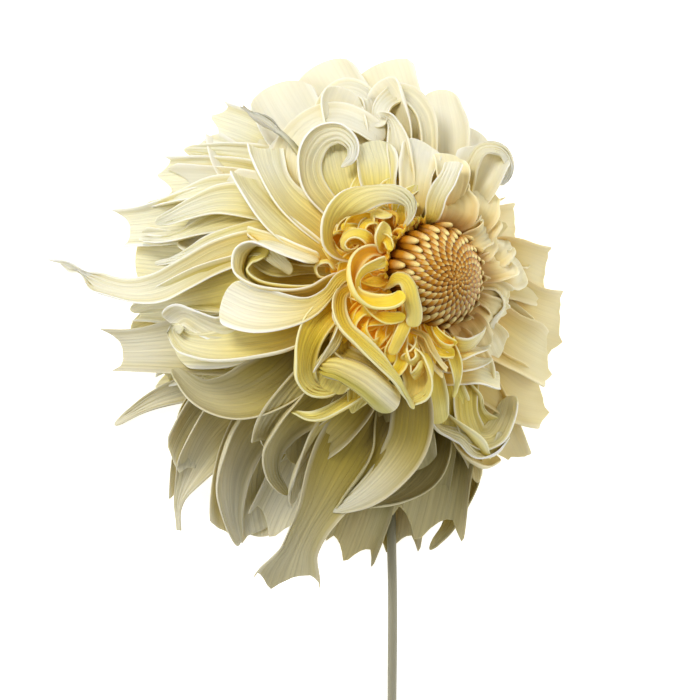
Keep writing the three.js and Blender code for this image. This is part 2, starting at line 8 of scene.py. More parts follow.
import bpy
import numpy as np
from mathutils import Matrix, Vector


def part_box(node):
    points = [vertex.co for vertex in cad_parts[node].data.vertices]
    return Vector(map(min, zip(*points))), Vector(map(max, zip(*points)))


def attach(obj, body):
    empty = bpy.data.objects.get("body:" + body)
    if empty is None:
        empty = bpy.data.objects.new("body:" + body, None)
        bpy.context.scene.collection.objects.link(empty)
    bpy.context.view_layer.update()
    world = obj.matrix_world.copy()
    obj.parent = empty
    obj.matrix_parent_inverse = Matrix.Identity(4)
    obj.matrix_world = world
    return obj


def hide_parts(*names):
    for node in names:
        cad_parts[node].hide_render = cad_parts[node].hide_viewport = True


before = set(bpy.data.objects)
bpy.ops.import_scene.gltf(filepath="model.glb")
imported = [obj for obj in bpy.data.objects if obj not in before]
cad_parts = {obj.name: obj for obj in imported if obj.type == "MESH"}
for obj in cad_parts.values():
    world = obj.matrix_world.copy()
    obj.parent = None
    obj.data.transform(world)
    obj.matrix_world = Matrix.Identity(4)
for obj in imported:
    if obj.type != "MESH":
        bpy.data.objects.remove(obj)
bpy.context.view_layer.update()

# ---------------------------------------------------------------- dimensions, as in the solids
HEAD_LEAN = math.radians(35)
HEAD_HEIGHT = 60.0
DISC_RADIUS = 18.7
RECEPTACLE_LENGTH = 28.0
RECEPTACLE_RADIUS = 17.2
CROWN = (-20.0, -10.0, 80.0, 80.0)  # x, y and height of the dome's top, and its radius
CLAW_SHARE = 0.25  # width of a petal's foot, as a share of its full width
STEM_RADIUS = 1.6
GAP = 0.3  # between a foot and the receptacle

AXIS = np.array([math.sin(HEAD_LEAN), 0.0, math.cos(HEAD_LEAN)])
ACROSS = np.array([math.cos(HEAD_LEAN), 0.0, -math.sin(HEAD_LEAN)])  # square to the axis, to the right
UP = np.array([0.0, 1.0, 0.0])
BASE = np.array([0.0, 0.0, HEAD_HEIGHT])

low, high = (np.array(corner) * 1000 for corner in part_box("receptacle"))
SHIFT = np.array([
    high[0] - RECEPTACLE_RADIUS * math.cos(HEAD_LEAN),
    (low[1] + high[1]) / 2,
    high[2] - HEAD_HEIGHT - RECEPTACLE_RADIUS * math.sin(HEAD_LEAN),
])


def to_frame(points):
    return (np.asarray(points) + SHIFT) * 0.001


def around_axis(angle):
    """The direction square to the flower's axis at an angle round it, from the right over the top."""
    return ACROSS * math.cos(angle) + UP * math.sin(angle)


# ---------------------------------------------------------------- petal tables
def triples(text):
    """The triples of numbers in a text such as "1 2 3, 4 5 6"."""
    return [[float(number) for number in triple.split()] for triple in text.split(",")]


def face(*directions):
    return ("face", directions)


def ray(foot, route, width, facing, cup, outline):
    return {"foot": foot, "route": route, "width": width, "facing": facing, "cup": cup, "outline": outline}


def read_petals(text):
    """Petals and their tones by name, from a table.

    A petal's first line gives its name, tone, foot (height on the receptacle, 0 at the disc's base), width,
    cup (bend of the cross-section, in degrees), outline, and the directions that its face or its side points
    in, from a third of its length to the tip. The lines under it are its route: x, y and depth below the
    crown's dome.
    """
    petals = {}
    for line in text.strip().splitlines():
        if line.startswith(" "):
            petal["route"] += triples(line)
        elif not line.startswith("#"):
            name, tone, foot, width, cup, outline, kind, directions = line.split(maxsplit=7)
            petal = ray(float(foot), [], float(width), (kind, triples(directions)), float(cup), outline)
            petals[name] = (petal, tone)
    return petals


# The petals that are solids of their own.
PETALS = read_petals("""
# front left and centre
white_blade white -3 15 35 paddle face 0 0.25 1, -0.1 0.1 1
  -28 0 5, -33 -6 3, -39 -10.5 1, -48 -12 0, -58 -11 1, -67.5 -7 4
scroll_left milk -4 10 12 strap side -0.1 0.45 1, 0 0.5 1, 0 -0.7 1
  -30 -1 6, -38 -5 5, -48 -6 4, -57 -4 5, -62 1 6, -61 8 6, -56 11.5 4, -48 9.5 2, -41 6.5 2, -36.5 4 3
tongue_left milk -5 7 20 strap side 0 0.5 1, 0.5 0.6 0.7
  -30 2 13, -40 3 14, -52 4 14, -57.5 8 12, -54 9.5 8, -49 5 7, -45.5 1 7
pair_low milk -8 12 50 round face 0.5 0.4 1, 0.7 0.3 0.8
  -33 6 10, -42 11 8, -51 18 7, -58 26 7, -64 34 10
pair_high milk -9 13 60 square face 0.6 0.2 1, 0.5 -0.2 1
  -30 11 14, -38 17 13, -46 24 12, -52 33 12, -56 43 15
spiral white -6 10 50 leaf side -0.85 -0.2 0.5, -0.6 0.65 0.5, 0.75 0.45 0.5, 0.3 -0.8 0.5
  -26 17 17, -33 23 13, -39 31 11, -40 40 10, -35.5 47 10, -29 48.5 10, -24.5 44.5 10, -25 39 10
  -28.5 36 10
outer_arch haze -10 12 50 strap side 0.6 0 0.7, 0.5 -0.4 0.7, 0 -0.7 0.7, -0.5 -0.5 0.7
  -27 17 22, -38 24 19, -45 33 17, -45.5 43 17, -39.5 51 16, -31 54 16, -22 51 17, -15 45 20
quill ash -12 7 120 quill face 0.3 0.5 1, 0.2 0.6 1
  -32 25 26, -41 39 16, -46 45.5 10, -49.5 48.5 8, -55 52.5 7, -62 57 8
arch_over_disc pale -2 9.5 50 leaf face -0.8 0.2 -0.2, 0 -0.5 -1, 0.6 -0.4 -0.6
  -27 5 7, -32 11 2, -31.5 18 -2, -26 24 -4, -18 27.5 -4, -10.5 27.3 -2, -6 24 0, -6.2 20 2.5, -9 16.8 6
# yellow centre
swoop lemon -1 8.5 110 strap face 0.8 0 0.7, 0.7 0.8 0.6, -0.5 0.5 1
  -16 8 6, -19.5 8.6 0, -23 6.8 -2, -25.4 3 -3, -26 -2 -4, -24 -6.8 -4, -19.5 -9.4 -3, -14 -9.4 -3
  -9.5 -8.2 -4.5, -7 -6 -6
disc_fold cream -1 6 -70 round face 0 0.4 1, 0.3 0.1 1, 0.2 -0.1 1
  -14 -5 8, -12.6 -2.2 2, -10.6 -0.6 -1.5, -8 -0.8 -3, -6 -3.6 -3.5, -5.2 -8 -3, -4.4 -12.5 -2, -5 -16.5 0
ribbon_long cream -3 7 40 leaf side -0.9 0 0.6, -0.5 -0.6 0.8, -0.6 -0.2 0.9
  -28 -5 5, -29.5 -11 1, -27.5 -17 -1, -22.5 -22 -2, -16 -28 -2, -10.5 -34 -2, -7.5 -39 -1, -5.5 -43.5 2
cup_low cream -4 7 30 strap side 0.3 -0.3 1, 0 -0.5 1
  -7 -22 8, -1 -27 4, 1 -33 2, -1 -39 2, -6 -40.5 4
front_blade pale -4 12 90 paddle side 0.6 0.5 0.8, 0.65 0.7 0.35, 0.65 0.7 0.2
  -27 -18 12, -32.5 -25 7, -35.5 -29.5 2, -30 -31 -2, -22 -35 -3, -15.5 -40 -2, -10.5 -44.5 1
loop_low cream -6 10 60 leaf face 0.3 0.3 1, 0.5 0.2 0.8, 0.3 0.9 0.4
  -29 -10 8, -34 -13 4, -38 -18 2, -41 -25 2, -41.5 -32 3, -38.5 -37 5, -32.5 -38.5 8, -27 -36.5 11
# left
scoop pale -8 17 60 leaf side 0 -0.75 0.65, 0 -0.75 0.65, -0.1 -0.75 0.65, 0.3 0.75 0.65
  -34 -15 11, -46 -21 9, -60 -23.5 8, -73 -24 8, -81.5 -21.5 8, -84 -17 7, -80 -15 7
bowl_low moss -12 22 75 leaf face 0.3 0.4 0.9, 0.2 0.7 0.8
  -38 -24 22, -50 -35 19, -62 -41 17, -75 -40 16, -86 -31 18
flat_left pale -12 18 20 leaf face 0.3 -0.3 1, 0.2 -0.5 1
  -38 0 22, -55 0 19, -70 -3 18, -86 -7 20, -100 -10 25
long_left white -11 11 40 neck face 0.3 0.2 1, 0.3 0.3 1, 0.2 0.5 0.9, 0.2 -0.9 0.4
  -38 7 18, -55 11 14, -68 7.5 12, -80 1.5 12, -91 -3.5 13, -101 -4.5 13, -111 -2 10, -118 3 4, -127 8 0
fan_1 milk -12 9 50 leaf face 0.3 0.5 1, 0.3 0.6 1
  -38 11 22, -55 15.5 17, -70 12 16, -82 7 18, -91 4 22
bat_left milk -17 25 30 bat face 0.3 0.1 1, 0.1 0 1
  -38 12 36, -58 18 32, -78 20 30, -92 18.5 30, -106 17.5 30
back_left milk -17 14 25 tooth face 0.3 0 1, 0.1 0 1
  -36 22 40, -55 31 37, -74 35 36, -92 34.5 34
back_high_left milk -17 14 25 tooth face 0.3 0 1, 0 0 1
  -32 30 40, -45 42 37, -60 50 35, -74 55 33
low_left_fork grey -17 26 30 bat face 0.3 0 1, 0.2 0 1
  -38 -12 34, -58 -18 30, -78 -22 28, -94 -23.5 26, -109 -24 22
low_left_roll grey -18 13 90 leaf face 0.3 0 1, 0.2 0.4 1
  -40 -20 44, -60 -30 42, -80 -37 38, -95 -43 32, -106 -50 24
# hanging
hang_left grey -18 17 50 leaf face 0.3 0.3 1, 0.8 0.1 0.8
  -42 -28 44, -62 -36 41, -77 -45 36, -84 -60 29, -88 -75 23
hang_twisted grey -16 22 40 point face 0.3 0.2 1, 0.5 0.1 1, -0.7 0 0.7
  -40 -28 38, -58 -40 34, -72 -53 30, -80 -67 26, -84 -77 20, -83.5 -86 14
broad_leaf grey -13 19 70 leaf face 0.5 0.2 1, 0.7 0.1 0.9, 0.5 0 1
  -38 -30 34, -50 -42 30, -61 -52 25, -66.5 -66 20, -66.5 -79 18, -64 -91 16
strap_low moss -9 9 45 square face 0.5 0.3 1, 0.6 0.2 0.9
  -30 -22 16, -38 -30 12, -45 -37 11, -52 -46 11, -56.5 -54 13
curve_low moss -11 14 70 leaf face 0.4 0.3 1, 0.8 0.1 0.8, 0.5 -0.2 0.8
  -26 -28 22, -36 -40 18, -46 -48 15, -52 -57 14, -52 -66 15, -47.5 -73 18
crescent cream -8 8 40 leaf face 0 1 0.6, 0.1 1 0.8
  -16 -28 16, -22 -38 12, -29 -43.5 9, -37 -47 8, -45.5 -45.5 10
great_hanging moss -14 26 50 great face 0.3 0.3 1, 0.5 0.1 1, 0 -0.1 1
  -12 -32 30, -18 -46 25, -27 -61 20, -35 -75 15, -41.5 -87 8, -49 -107 0
striped grey -10 14 -45 leaf face -0.4 0.2 1, -0.2 0.4 1
  -6 -32 20, -5 -44 15, -6.5 -55 13, -12 -64 13, -20 -72 12.4, -31 -79 15.4
# low right
olive_cup olive -16 18 50 leaf face -0.4 0.3 1, -0.4 0.7 0.8
  0 -34 40, 3 -50 36, 1 -64 30, -8 -73 27, -22 -78 26
olive_great olive -18 24 25 tooth face 0 0.2 1, 0 0 1
  2 -34 48, 5 -52 46, 3 -70 38, -2 -91 22
ragged_low olive -19 17 25 tooth face 0 0.2 1, 0 0 1
  -10 -36 56, -14 -56 54, -19 -76 44, -27 -98 26
ruffle cream -12 18 120 square face -0.1 0.4 1, 0 0.8 0.8
  4 -28 30, 9 -40 27, 14 -50 25, 18.5 -58 27
low_right_tip warm -15 14 60 leaf face -0.3 0.3 1, -0.3 0.4 1
  6 -30 38, 12 -44 37, 16 -57 34, 18 -69 34
right_low warm -15 17 50 lobe face -0.4 0.2 1, -0.5 0.3 1
  9 -25 40, 18 -38 40, 25 -50 40, 32 -62 42
# right
right_fold warm -12 20 30 lobe face -0.2 0 1, 0.3 0 1
  14 4 32, 24 4 34, 34 2 38, 42 -1 46
right_point warm -13 22 30 lobe face -0.2 0.1 1, 0.2 0.1 1
  14 -5 38, 25 -9 41, 36 -14 46, 48 -18 52
right_broad warm -11 19 50 lobe face -0.1 0.3 1, 0.2 0.3 1
  12 -12 28, 22 -18 30, 33 -25 34, 43 -30 40
right_back warm -14 20 30 lobe face 0.2 -0.1 1, 0.6 0 0.8
  12 8 40, 19 12 43, 26 15 50, 32 15.5 58
right_hook haze -8 17 25 round face -0.2 0.1 1, -0.1 0.2 1
  9 17 28, 13 26 24, 18 35 21, 21.5 44 22
# top
top_tab white -3 7.5 40 square face -0.3 0 1, -0.4 0 1
  1.5 20 9, 3.5 26 5, 6.5 32 4, 9.5 37.5 5
top_right haze -12 15 35 strap face 0 -0.2 1, 0 -0.1 1
  4 20 32, 6 36 32, 7 50 33, 5 64 34
top_crown haze -14 24 45 round face 0 -0.2 1, -0.2 0 1
  -8 21 38, -10 40 38, -12 58 38, -16 73 36
top_left_round haze -14 22 40 round face 0.2 -0.1 1, 0.2 0 1
  -22 20 38, -34 38 36, -45 52 32, -53 65 28
top_curl haze -9 17 80 round face 0.1 -0.2 1, 0.1 -0.3 1
  -17 21 24, -23 35 24, -27 47 22, -29 57 19, -27 63.5 16
top_loop haze -7 17 85 round face 0 -0.2 1, -0.2 -0.3 1
  -9 21 20, -10.5 36 21, -10.5 50 21, -12 60 19, -16 66 16
# under the head, folded back towards the stem
under_left olive -20 16 30 tooth face 0.3 0 1, 0.1 0 1
  -34 6 48, -54 5 52, -74 3 48, -90 2 42
under_low olive -20 16 30 tooth face 0.1 0.2 1, 0.1 0.1 1
  -24 -24 52, -38 -44 56, -50 -62 52, -58 -76 42
""")

# Petals beyond those.
EXTRA = read_petals("""
skirt_mid moss -19 17 25 tooth face 0 0.2 1, 0 0 1
  -4 -36 57, -6 -56 56, -9 -76 47, -12 -95 30
blade_flank moss -4 8 40 leaf face 0.3 0.5 1, 0.4 0.4 1
  -27 -17 13, -29.5 -24 6, -27 -26.5 2.5, -21 -29 1, -15.5 -33 0.5, -12 -37.5 1.5
bright_leaflet lemon -1 4 -30 leaf face 0 -0.4 1, 0.2 -0.4 1
  -19 -1 6, -21 1.5 1, -18 4 -1, -14.3 6 -1
fan_2 milk -13 12 30 leaf face 0.3 0.2 1, 0.2 0.3 1
  -38 17 24, -54 24 19, -68 26 16, -80 23 16, -91 18.5 19
fan_3 milk -14 10 45 leaf face 0.3 0.5 1, 0.2 0.5 1
  -38 15 28, -56 20 23, -72 17.5 21, -85 13.5 22, -97 13 26
fan_4 milk -15 11 45 leaf face 0.3 0.5 1, 0.2 0.5 1
  -38 20 32, -56 27 27, -72 29.5 24, -85 27 25, -96 24 30
back_left_2 milk -16 13 25 leaf face 0.3 0 1, 0.1 0 1
  -34 26 38, -50 37 35, -66 42 34, -82 44 33
scoop_rim white -10 10 50 strap face 0 0.3 1, 0 -0.5 0.9, 0.2 -0.3 1
  -36 -10 18, -50 -12 15, -60 -14 12, -68 -17 10, -75 -14.5 10, -82 -11.5 11, -87 -14 12
behind_leaf grey -18 18 30 strap face 0.3 0.2 1, 0.1 0 1
  -34 -34 44, -46 -50 42, -54 -68 38, -57 -88 26
point_low grey -12 15 80 leaf face 0.4 0.4 1, 0.8 0.3 0.7
  -18 -32 26, -26 -44 22, -36 -55 18, -43 -64 17, -46.5 -76 18
grey_rim olive -15 14 50 leaf face 0.6 0.3 0.9, 0.9 0.1 0.5
  -10 -34 36, -13 -48 28.5, -15 -58 23.5, -22 -68 19.5, -31 -78 15.5
olive_pale olive -18 15 40 leaf face -0.3 0.2 1, -0.8 0.2 0.8
  4 -34 50, 12 -52 48, 14 -68 42, 9 -84 30, 2 -93 22
ruffle_small cream -9 11 -70 square face -0.1 0.4 1, 0 0.6 0.9
  2 -26 24, 6 -36 22, 9 -44 22, 10 -52 25
right_low_1 warm -14 19 50 lobe face -0.3 0.3 1, -0.2 0.3 1
  10 -22 34, 20 -32 34, 31 -40 36, 42 -43 38
top_crown_left haze -15 24 35 round face 0 -0.2 1, 0 0 1
  -14 22 44, -22 42 43, -30 60 38, -37 73 32
top_right_2 haze -13 14 35 strap face 0.2 -0.2 1, 0.3 0.1 1
  7 19 38, 12 32 38, 15 42 38, 17 50 40
scroll_mid cream -5 9 12 strap side -0.1 0.45 1, 0 0.5 1, 0 -0.7 1
  -30 -1 9, -38 -4 8, -47 -4.5 7, -55 -2.5 8, -59.5 1.5 9, -58 6.5 9, -52 8.5 8
skirt_a grey -17 26 30 lobe face 0.3 0.2 1, 0.3 0.1 1
  -40 -26 42, -57 -38 40, -70 -48 36, -77 -58 30, -80 -68 26
skirt_b grey -17 26 30 lobe face 0.3 0.2 1, 0.1 0.1 1
  -36 -30 42, -50 -46 40, -58 -60 36, -60 -76 28, -58 -90 24
skirt_c grey -16 22 40 tooth face 0.2 0.2 1, 0.1 0.1 1
  -24 -34 44, -33 -50 42, -41 -66 38, -48 -80 30, -52 -90 22
white_sheet white -5 5 50 leaf side -0.6 0.3 0.7, -0.5 0.5 0.7, -0.4 0.6 0.7
  -27 -10 8, -28.5 -15 3, -30.5 -21 0, -34 -26.5 0, -38 -31 2
top_ring haze -9 9 50 strap side -0.7 0 0.7, -0.6 -0.3 0.7, 0 -0.7 0.7, 0.7 0 0.7
  -6 21 24, -2 33 22, 0 45 20, -2 56 18, -8 61.5 17, -14 58 17, -15 50 18
top_ring_left haze -10 9 50 strap side 0.7 0.1 0.7, 0.6 -0.3 0.7, 0 -0.7 0.7, -0.7 0 0.7
  -19 22 28, -27 34 26, -33 46 24, -33.5 57 22, -27 64 20, -20 61 20, -19 53 21
tab_back haze -5 13 40 round face 0 -0.2 1, 0.1 -0.2 1
  -4 21 13, -4 29 12, -3 37 13, -2 45 17
hook_ring haze -9 7 50 leaf side 0.7 0 0.7, 0.6 -0.4 0.7, -0.3 -0.7 0.7, -0.7 0.2 0.7, 0 0.7 0.7
  10 20 26, 14 29 20, 15.5 37 17, 19.5 43 16, 25.5 42.5 16, 28 37 18, 25.5 32.5 20, 21 33.5 21
curl_right haze -8 7 60 strap side 0.6 0.4 0.7, 0.7 0 0.7, -0.6 0 0.7
  17 -4 24, 22.5 -4 22, 25 -9 23, 22.5 -14 25, 25 -19 29
pocket cream -7 14 50 round face 0.2 0.3 1, 0.3 0.3 1
  -20 -16 15, -25 -24 10, -30 -31 8, -34 -37 9
pocket_low cream -8 13 50 leaf face 0.2 0.3 1, 0.3 0.3 1
  -14 -20 17, -18 -30 12, -22 -38 10, -25 -45 12
loop_right pale -9 10 40 strap side -0.75 0 0.65, -0.75 -0.2 0.65, 0 -0.75 0.65, 0.75 0 0.65
  7 -22 28, 13 -31 25, 12.5 -40 23, 14 -49 23, 18.5 -55 23, 23.5 -54 23, 27.5 -47 25, 30 -40 28
lip_right white -8 6 60 strap side 0 -0.6 0.8, -0.3 -0.7 0.7, 0 -0.7 0.7
  -1 -28 26, 0 -40 22, 3 -50 20, 8 -52.5 19, 12 -54 18, 17 -59 18, 23 -58.5 19, 28 -53 22
fold_right warm -10 12 90 round face -0.3 0.4 1, -0.2 0.6 0.8
  5 -32 34, 9 -45 31, 12.5 -56 28, 18 -62.5 28, 24 -61 30
panel_left pale -8 15 40 round face 0.1 -0.2 1, 0.2 -0.2 1
  -22 18 20, -27 28 17, -30 38 17, -31 46 19
panel_right pale -7 14 50 round face 0.1 -0.2 1, 0.1 -0.2 1
  -14 20 17, -16 30 15, -17 38 15, -19 45 17
hood_tip haze -6 10 90 leaf face 0 -0.2 1, -0.3 -0.3 1
  -7 21 15, -8 34 15, -9 46 15, -12 54 14, -16.5 56 13
top_mid haze -10 14 40 strap face 0 -0.2 1, 0 0 1
  -5 20 26, -6 34 26, -7 46 26, -7 58 28
""")

# Small curled petals round the disc, mostly on its left.
CURLS = read_petals("""
finger cream -1 4.6 -60 strap face 0.3 0.1 1, 0.1 0.1 1
  -7 -9 6, -6.5 -12 1, -7.5 -16 0, -9.5 -20.5 0, -12 -25.5 2
hoop lemon -2 5 30 strap side 0.5 -0.2 1, 0.3 -0.4 1, 0 -0.4 1
  -17 -24 10, -22.5 -24.5 6, -25 -20 3.5, -24.6 -15 3, -21.5 -11.8 2.5, -17 -11.5 3, -13.5 -13.5 5
vase cream -1 8 110 round face 0.4 -0.3 1, 0.3 -0.6 1
  -13 9 9, -15.5 11 4, -15.5 14.5 1, -13.5 17.5 0.5
lobe_centre cream -1 4.8 60 paddle face 0.6 0.3 1, 0.2 -0.4 1
  -18 -6 5, -22.4 -5 0, -23.4 -1.5 -2.5, -21.5 1.8 -3, -17.5 4 -2, -14.3 5.5 0
swirl cream -2 5 30 leaf side -0.8 -0.6 0.7, 0.9 -0.2 0.7, 0.4 -0.4 0.8
  -19 6 11, -18.8 10.4 4, -20.2 12.9 1, -23.2 14 0, -26.3 13.2 0, -27.8 10.8 0.5, -26.5 8.8 1, -24.3 9.3 1.5
  -24 11 2
swirl_inner lemon -2 4 30 leaf side -0.3 -0.8 0.7, 0.7 -0.4 0.7
  -18 5 13, -20 9 7, -22 11.5 4, -25 11 4, -25.5 9 4
wave_hood cream -3 4.5 30 strap side 0 -0.7 0.8, 0.2 -0.7 0.8
  -14 14 12, -18 18 6, -17.5 21.5 3, -14.5 20.6 2, -11.8 21.4 2.5
wall lemon -1 5 50 strap face 0.2 -0.5 1, 0.1 -0.4 1
  -20 -9 8, -21.5 -11.5 2, -17.5 -13.2 0, -12 -13.8 -0.5, -7.5 -12.6 -1
vase_small cream -2 5 120 round face 0.3 -0.5 1, 0.4 -0.9 0.8
  -14 13 11, -17 17 7, -17 20.5 5, -14.5 22 4
flame_a lemon -2 4.5 90 point face 0.2 -0.2 1, 0.4 -0.4 1
  -22 4 12, -27 6 7, -30 8.5 5, -32 11.5 6
flame_b cream -2 4.5 90 point face 0.2 -0.2 1, 0.4 -0.4 1
  -22 2 13, -28 3 8, -31.5 5.5 6, -34 9 7
orange_fold gold -1 4 80 leaf face 0.2 0.5 1, 0.3 0.3 1
  -13 -1 8, -17 -2 3.5, -20.5 -2 2.5, -23.5 -0.5 4
fold_low_a cream -2 5.5 30 strap side 0.3 0.6 0.7, -0.4 0.4 0.8
  -8 -20 9, -8 -25.5 4, -5.5 -28.8 2, -2.8 -26.5 1.5, -2.8 -23.8 2
fold_low_b cream -3 5 30 strap side 0.5 0.3 0.8, -0.4 0.4 0.8
  -5 -22 10, -6 -28 6, -5 -33 4, -2.5 -31 2.5, -0.5 -27.8 2
cup_fill cream -5 9 50 round face 0 0 1, 0 0.1 1
  -8 -23 13, -5 -30 9, -3.5 -36 8, -5 -41 7
leaf_low lemon -2 5 60 point face 0.3 0.4 1, 0.3 0.4 1
  -13 -16 9, -15.5 -19.5 5, -16.5 -22.5 4, -17.5 -26 6
rosette_a lemon -1 5 30 strap side 0.6 0 1, 0.5 0.3 1
  -22 -9 9, -25.5 -13 5, -26 -18 3, -23 -22 4
rosette_b lemon -1 4.5 20 strap side 0.4 0.2 1, 0 0.4 1
  -17 -11 9, -20 -14 5, -21.5 -18 3, -19 -22 3.5, -15.5 -21 5
rosette_c lemon -1 4 60 leaf face 0.2 0.6 1, 0.2 0.5 1
  -12 -13 9, -14 -15 5, -18 -15.5 3, -22 -16.5 4
rosette_d gold -2 4.5 50 strap face 0.3 0.3 1, 0.4 0.5 1
  -13 -16 11, -16 -19 7, -19.5 -20 6, -22 -22.5 7
rosette_e lemon -2 4 70 leaf face 0 0.5 1, 0.1 0.6 1
  -11 -18 11, -14 -22 7, -18 -24.5 5, -21 -25 6
rosette_f lemon -1 4.5 40 strap face 0.3 0.1 1, 0.2 0.2 1
  -9 -16 8, -10 -20 4, -13 -24.5 3, -12 -27.5 5
rosette_g lemon -2 5 60 strap face 0.3 0 1, 0.3 0.3 1
  -7 -19 10, -8 -24 6, -9 -29 4, -12 -33 5
rosette_h cream -2 3.6 30 strap side 0 0.3 1, 0.3 0.6 1
  -5 -20 9, -4 -23 5, -5.5 -25.5 3, -9 -26.5 4
rosette_i cream -3 3.6 30 strap side 0.2 0.3 1, 0.3 0.6 1
  -5 -21 11, -2.5 -27 6, -2 -31 4, -5 -33 5
cavity_a gold -3 5 40 strap face 0.3 0.2 1, 0.3 0.2 1
  -17 -8 13, -20 -11 11, -21 -15 11
cavity_b gold -3 5 40 strap face 0.3 0.2 1, 0.3 0.2 1
  -15 -12 13, -17 -17 12, -18 -22 13
cavity_c gold -3 6 40 strap face 0.5 0.2 1, 0.3 0.2 1
  -17 -1 14, -21 -3 11, -23 -6 12
cavity_d gold -3 6 40 strap face 0.5 0 1, 0.3 -0.2 1
  -17 4 14, -21 4 10, -24 1 11
curl_over_a lemon -2 4.5 20 strap side 0.5 -0.2 1, 0.3 -0.2 1
  -19 4 11, -24 8 6, -27.5 12 5, -26 16 5, -22 15.5 6
curl_over_b lemon -2 4.5 20 strap side 0.4 -0.3 1, 0.2 -0.3 1
  -18 8 11, -21 12 6, -21 17 4, -17 18.5 5, -15.5 15.5 7
curl_over_c gold -2 4 20 strap side 0.3 -0.4 1, 0.2 -0.3 1
  -14 13 12, -16 17 7, -15 21 5, -11 21 6, -10 17 8
curl_over_d lemon -1 3.6 50 strap face 0.4 -0.3 1, 0.3 -0.5 1
  -16 11 9, -15.5 13.5 4, -13 12 2, -12.5 8.5 3
curl_over_e lemon -2 4 20 strap side 0.3 -0.3 1, 0.2 -0.3 1
  -20 10 14, -26 14 10, -31 14 8, -33 10 8, -30 8 9
curl_left_a cream -3 4.5 20 strap side 0.2 -0.3 1, 0.1 -0.2 1
  -22 0 13, -29 0 8, -36 0 6, -37 3.5 5, -33 5 5, -30 2.5 6
strap_upper pale -5 5.5 30 strap side 0.1 0.5 1, 0.2 0.8 0.7, 0 0.6 1
  -30 5 14, -42 9 10, -56 13 8, -60 14.5 7, -50 11.5 5, -42 8 4, -36 5 5
lip_white white -2 4.5 30 strap side -0.6 0 1, -0.4 -0.4 1
  -27 -7 8, -30.5 -12 3, -30 -15 1, -25 -19 1
under_disc_a pale -2 7 30 leaf side 0 0.9 0.8, 0 0.9 0.5
  5 -18 20, 9 -22.5 13, 14 -23 12, 20.5 -17 13
under_disc_b pale -2 6.5 60 leaf face 0 0.5 1, 0 0.7 0.8
  2 -19 20, 7 -25.5 15, 14 -25 15, 21 -24 17
under_disc_c pale -3 7.5 60 leaf face 0 0.5 1, 0 0.7 0.8
  0 -21 22, 5 -28.5 18, 13 -29 17, 22 -28 19
under_disc_d pale -4 8 60 square face 0 0.5 1, 0 0.7 0.8
  0 -23 24, 4 -32 20, 11 -33 20, 17 -33 19, 24 -36 20
gap_fold cream -6 9 50 round face 0.1 0.3 1, 0 0.4 1
  0 -24 22, 2 -33 17, 3 -41 16, 4 -48 19
thread_a tan -1 1.6 60 leaf face 0.2 0.3 1, 0.2 0.3 1
  -5 -18 8, -1 -19.5 5, 1.5 -24 5, 6 -31 7
thread_b tan -1 1.5 60 leaf face 0.2 0.3 1, 0.2 0.3 1
  -6 -19 9, -2 -22 7, 0.5 -27 7, 4.5 -33 9
""")

# What a petal looks like beyond its solid.
PLAIN = {
    # flank: the side with painted shade
    "flank": 0,  # the side that is shaded, -1 or 1
    "roll": (45, 35),  # of the left and the right edge, in degrees
    "ruffle": (0.6, 2.2),  # height and number of waves
    "thick": 0.7,
    "ridge": 0.35,
    # glow: the share of the heart's yellow, which also scales the painted glow in the hollows
    "glow": 1.0,  # share of the yellow heart's glow
    "lip": 1.0,  # lift of the tip
    # the rim colour is a painted highlight on the pale tones and painted shade on the olive, moss, grey and
    # ash tones
    "rim": 0.8,  # where the pale rim starts, as a share of the half width
    "small": False,
}
SMALL = {**PLAIN, "small": True, "rim": 0.62, "thick": 0.8, "ruffle": (0.25, 1.5), "ridge": 0.08,
         "roll": (20, 20)}
DETAILS = {
    "white_blade": {"ruffle": (0.6, 1.2)},
    "quill": {"rim": 0.5, "roll": (80, 80)},
    "arch_over_disc": {"thick": 0.9, "glow": 0.3},
    "swoop": {"thick": 0.9, "ridge": 0.1, "roll": (60, 60), "rim": 0.5, "glow": 0.45},
    "disc_fold": {"thick": 0.9, "ridge": 0.1, "roll": (0, 0), "rim": 0.4, "glow": 0.45},
    "bright_leaflet": {"thick": 0.8, "ridge": 0.1},
    "ribbon_long": {"thick": 0.9, "glow": 0.5, "rim": 0.4},
    "front_blade": {"thick": 0.9, "glow": 0.6, "ridge": 0.6, "roll": (80, 60), "flank": -1},
    "scoop": {"thick": 0.9, "lip": 3.0},
    "lip_right": {"ruffle": (1.2, 3)},
    "ruffle": {"ruffle": (2.0, 2.5)},
    "ruffle_small": {"ruffle": (1.5, 2.5)},
    **{name: {"thick": 0.9} for name in ("scroll_left", "scroll_mid", "spiral", "cup_low", "loop_low")},
    **{name: {"roll": (60, 60)} for name in ("top_curl", "hood_tip", "top_loop")},
}
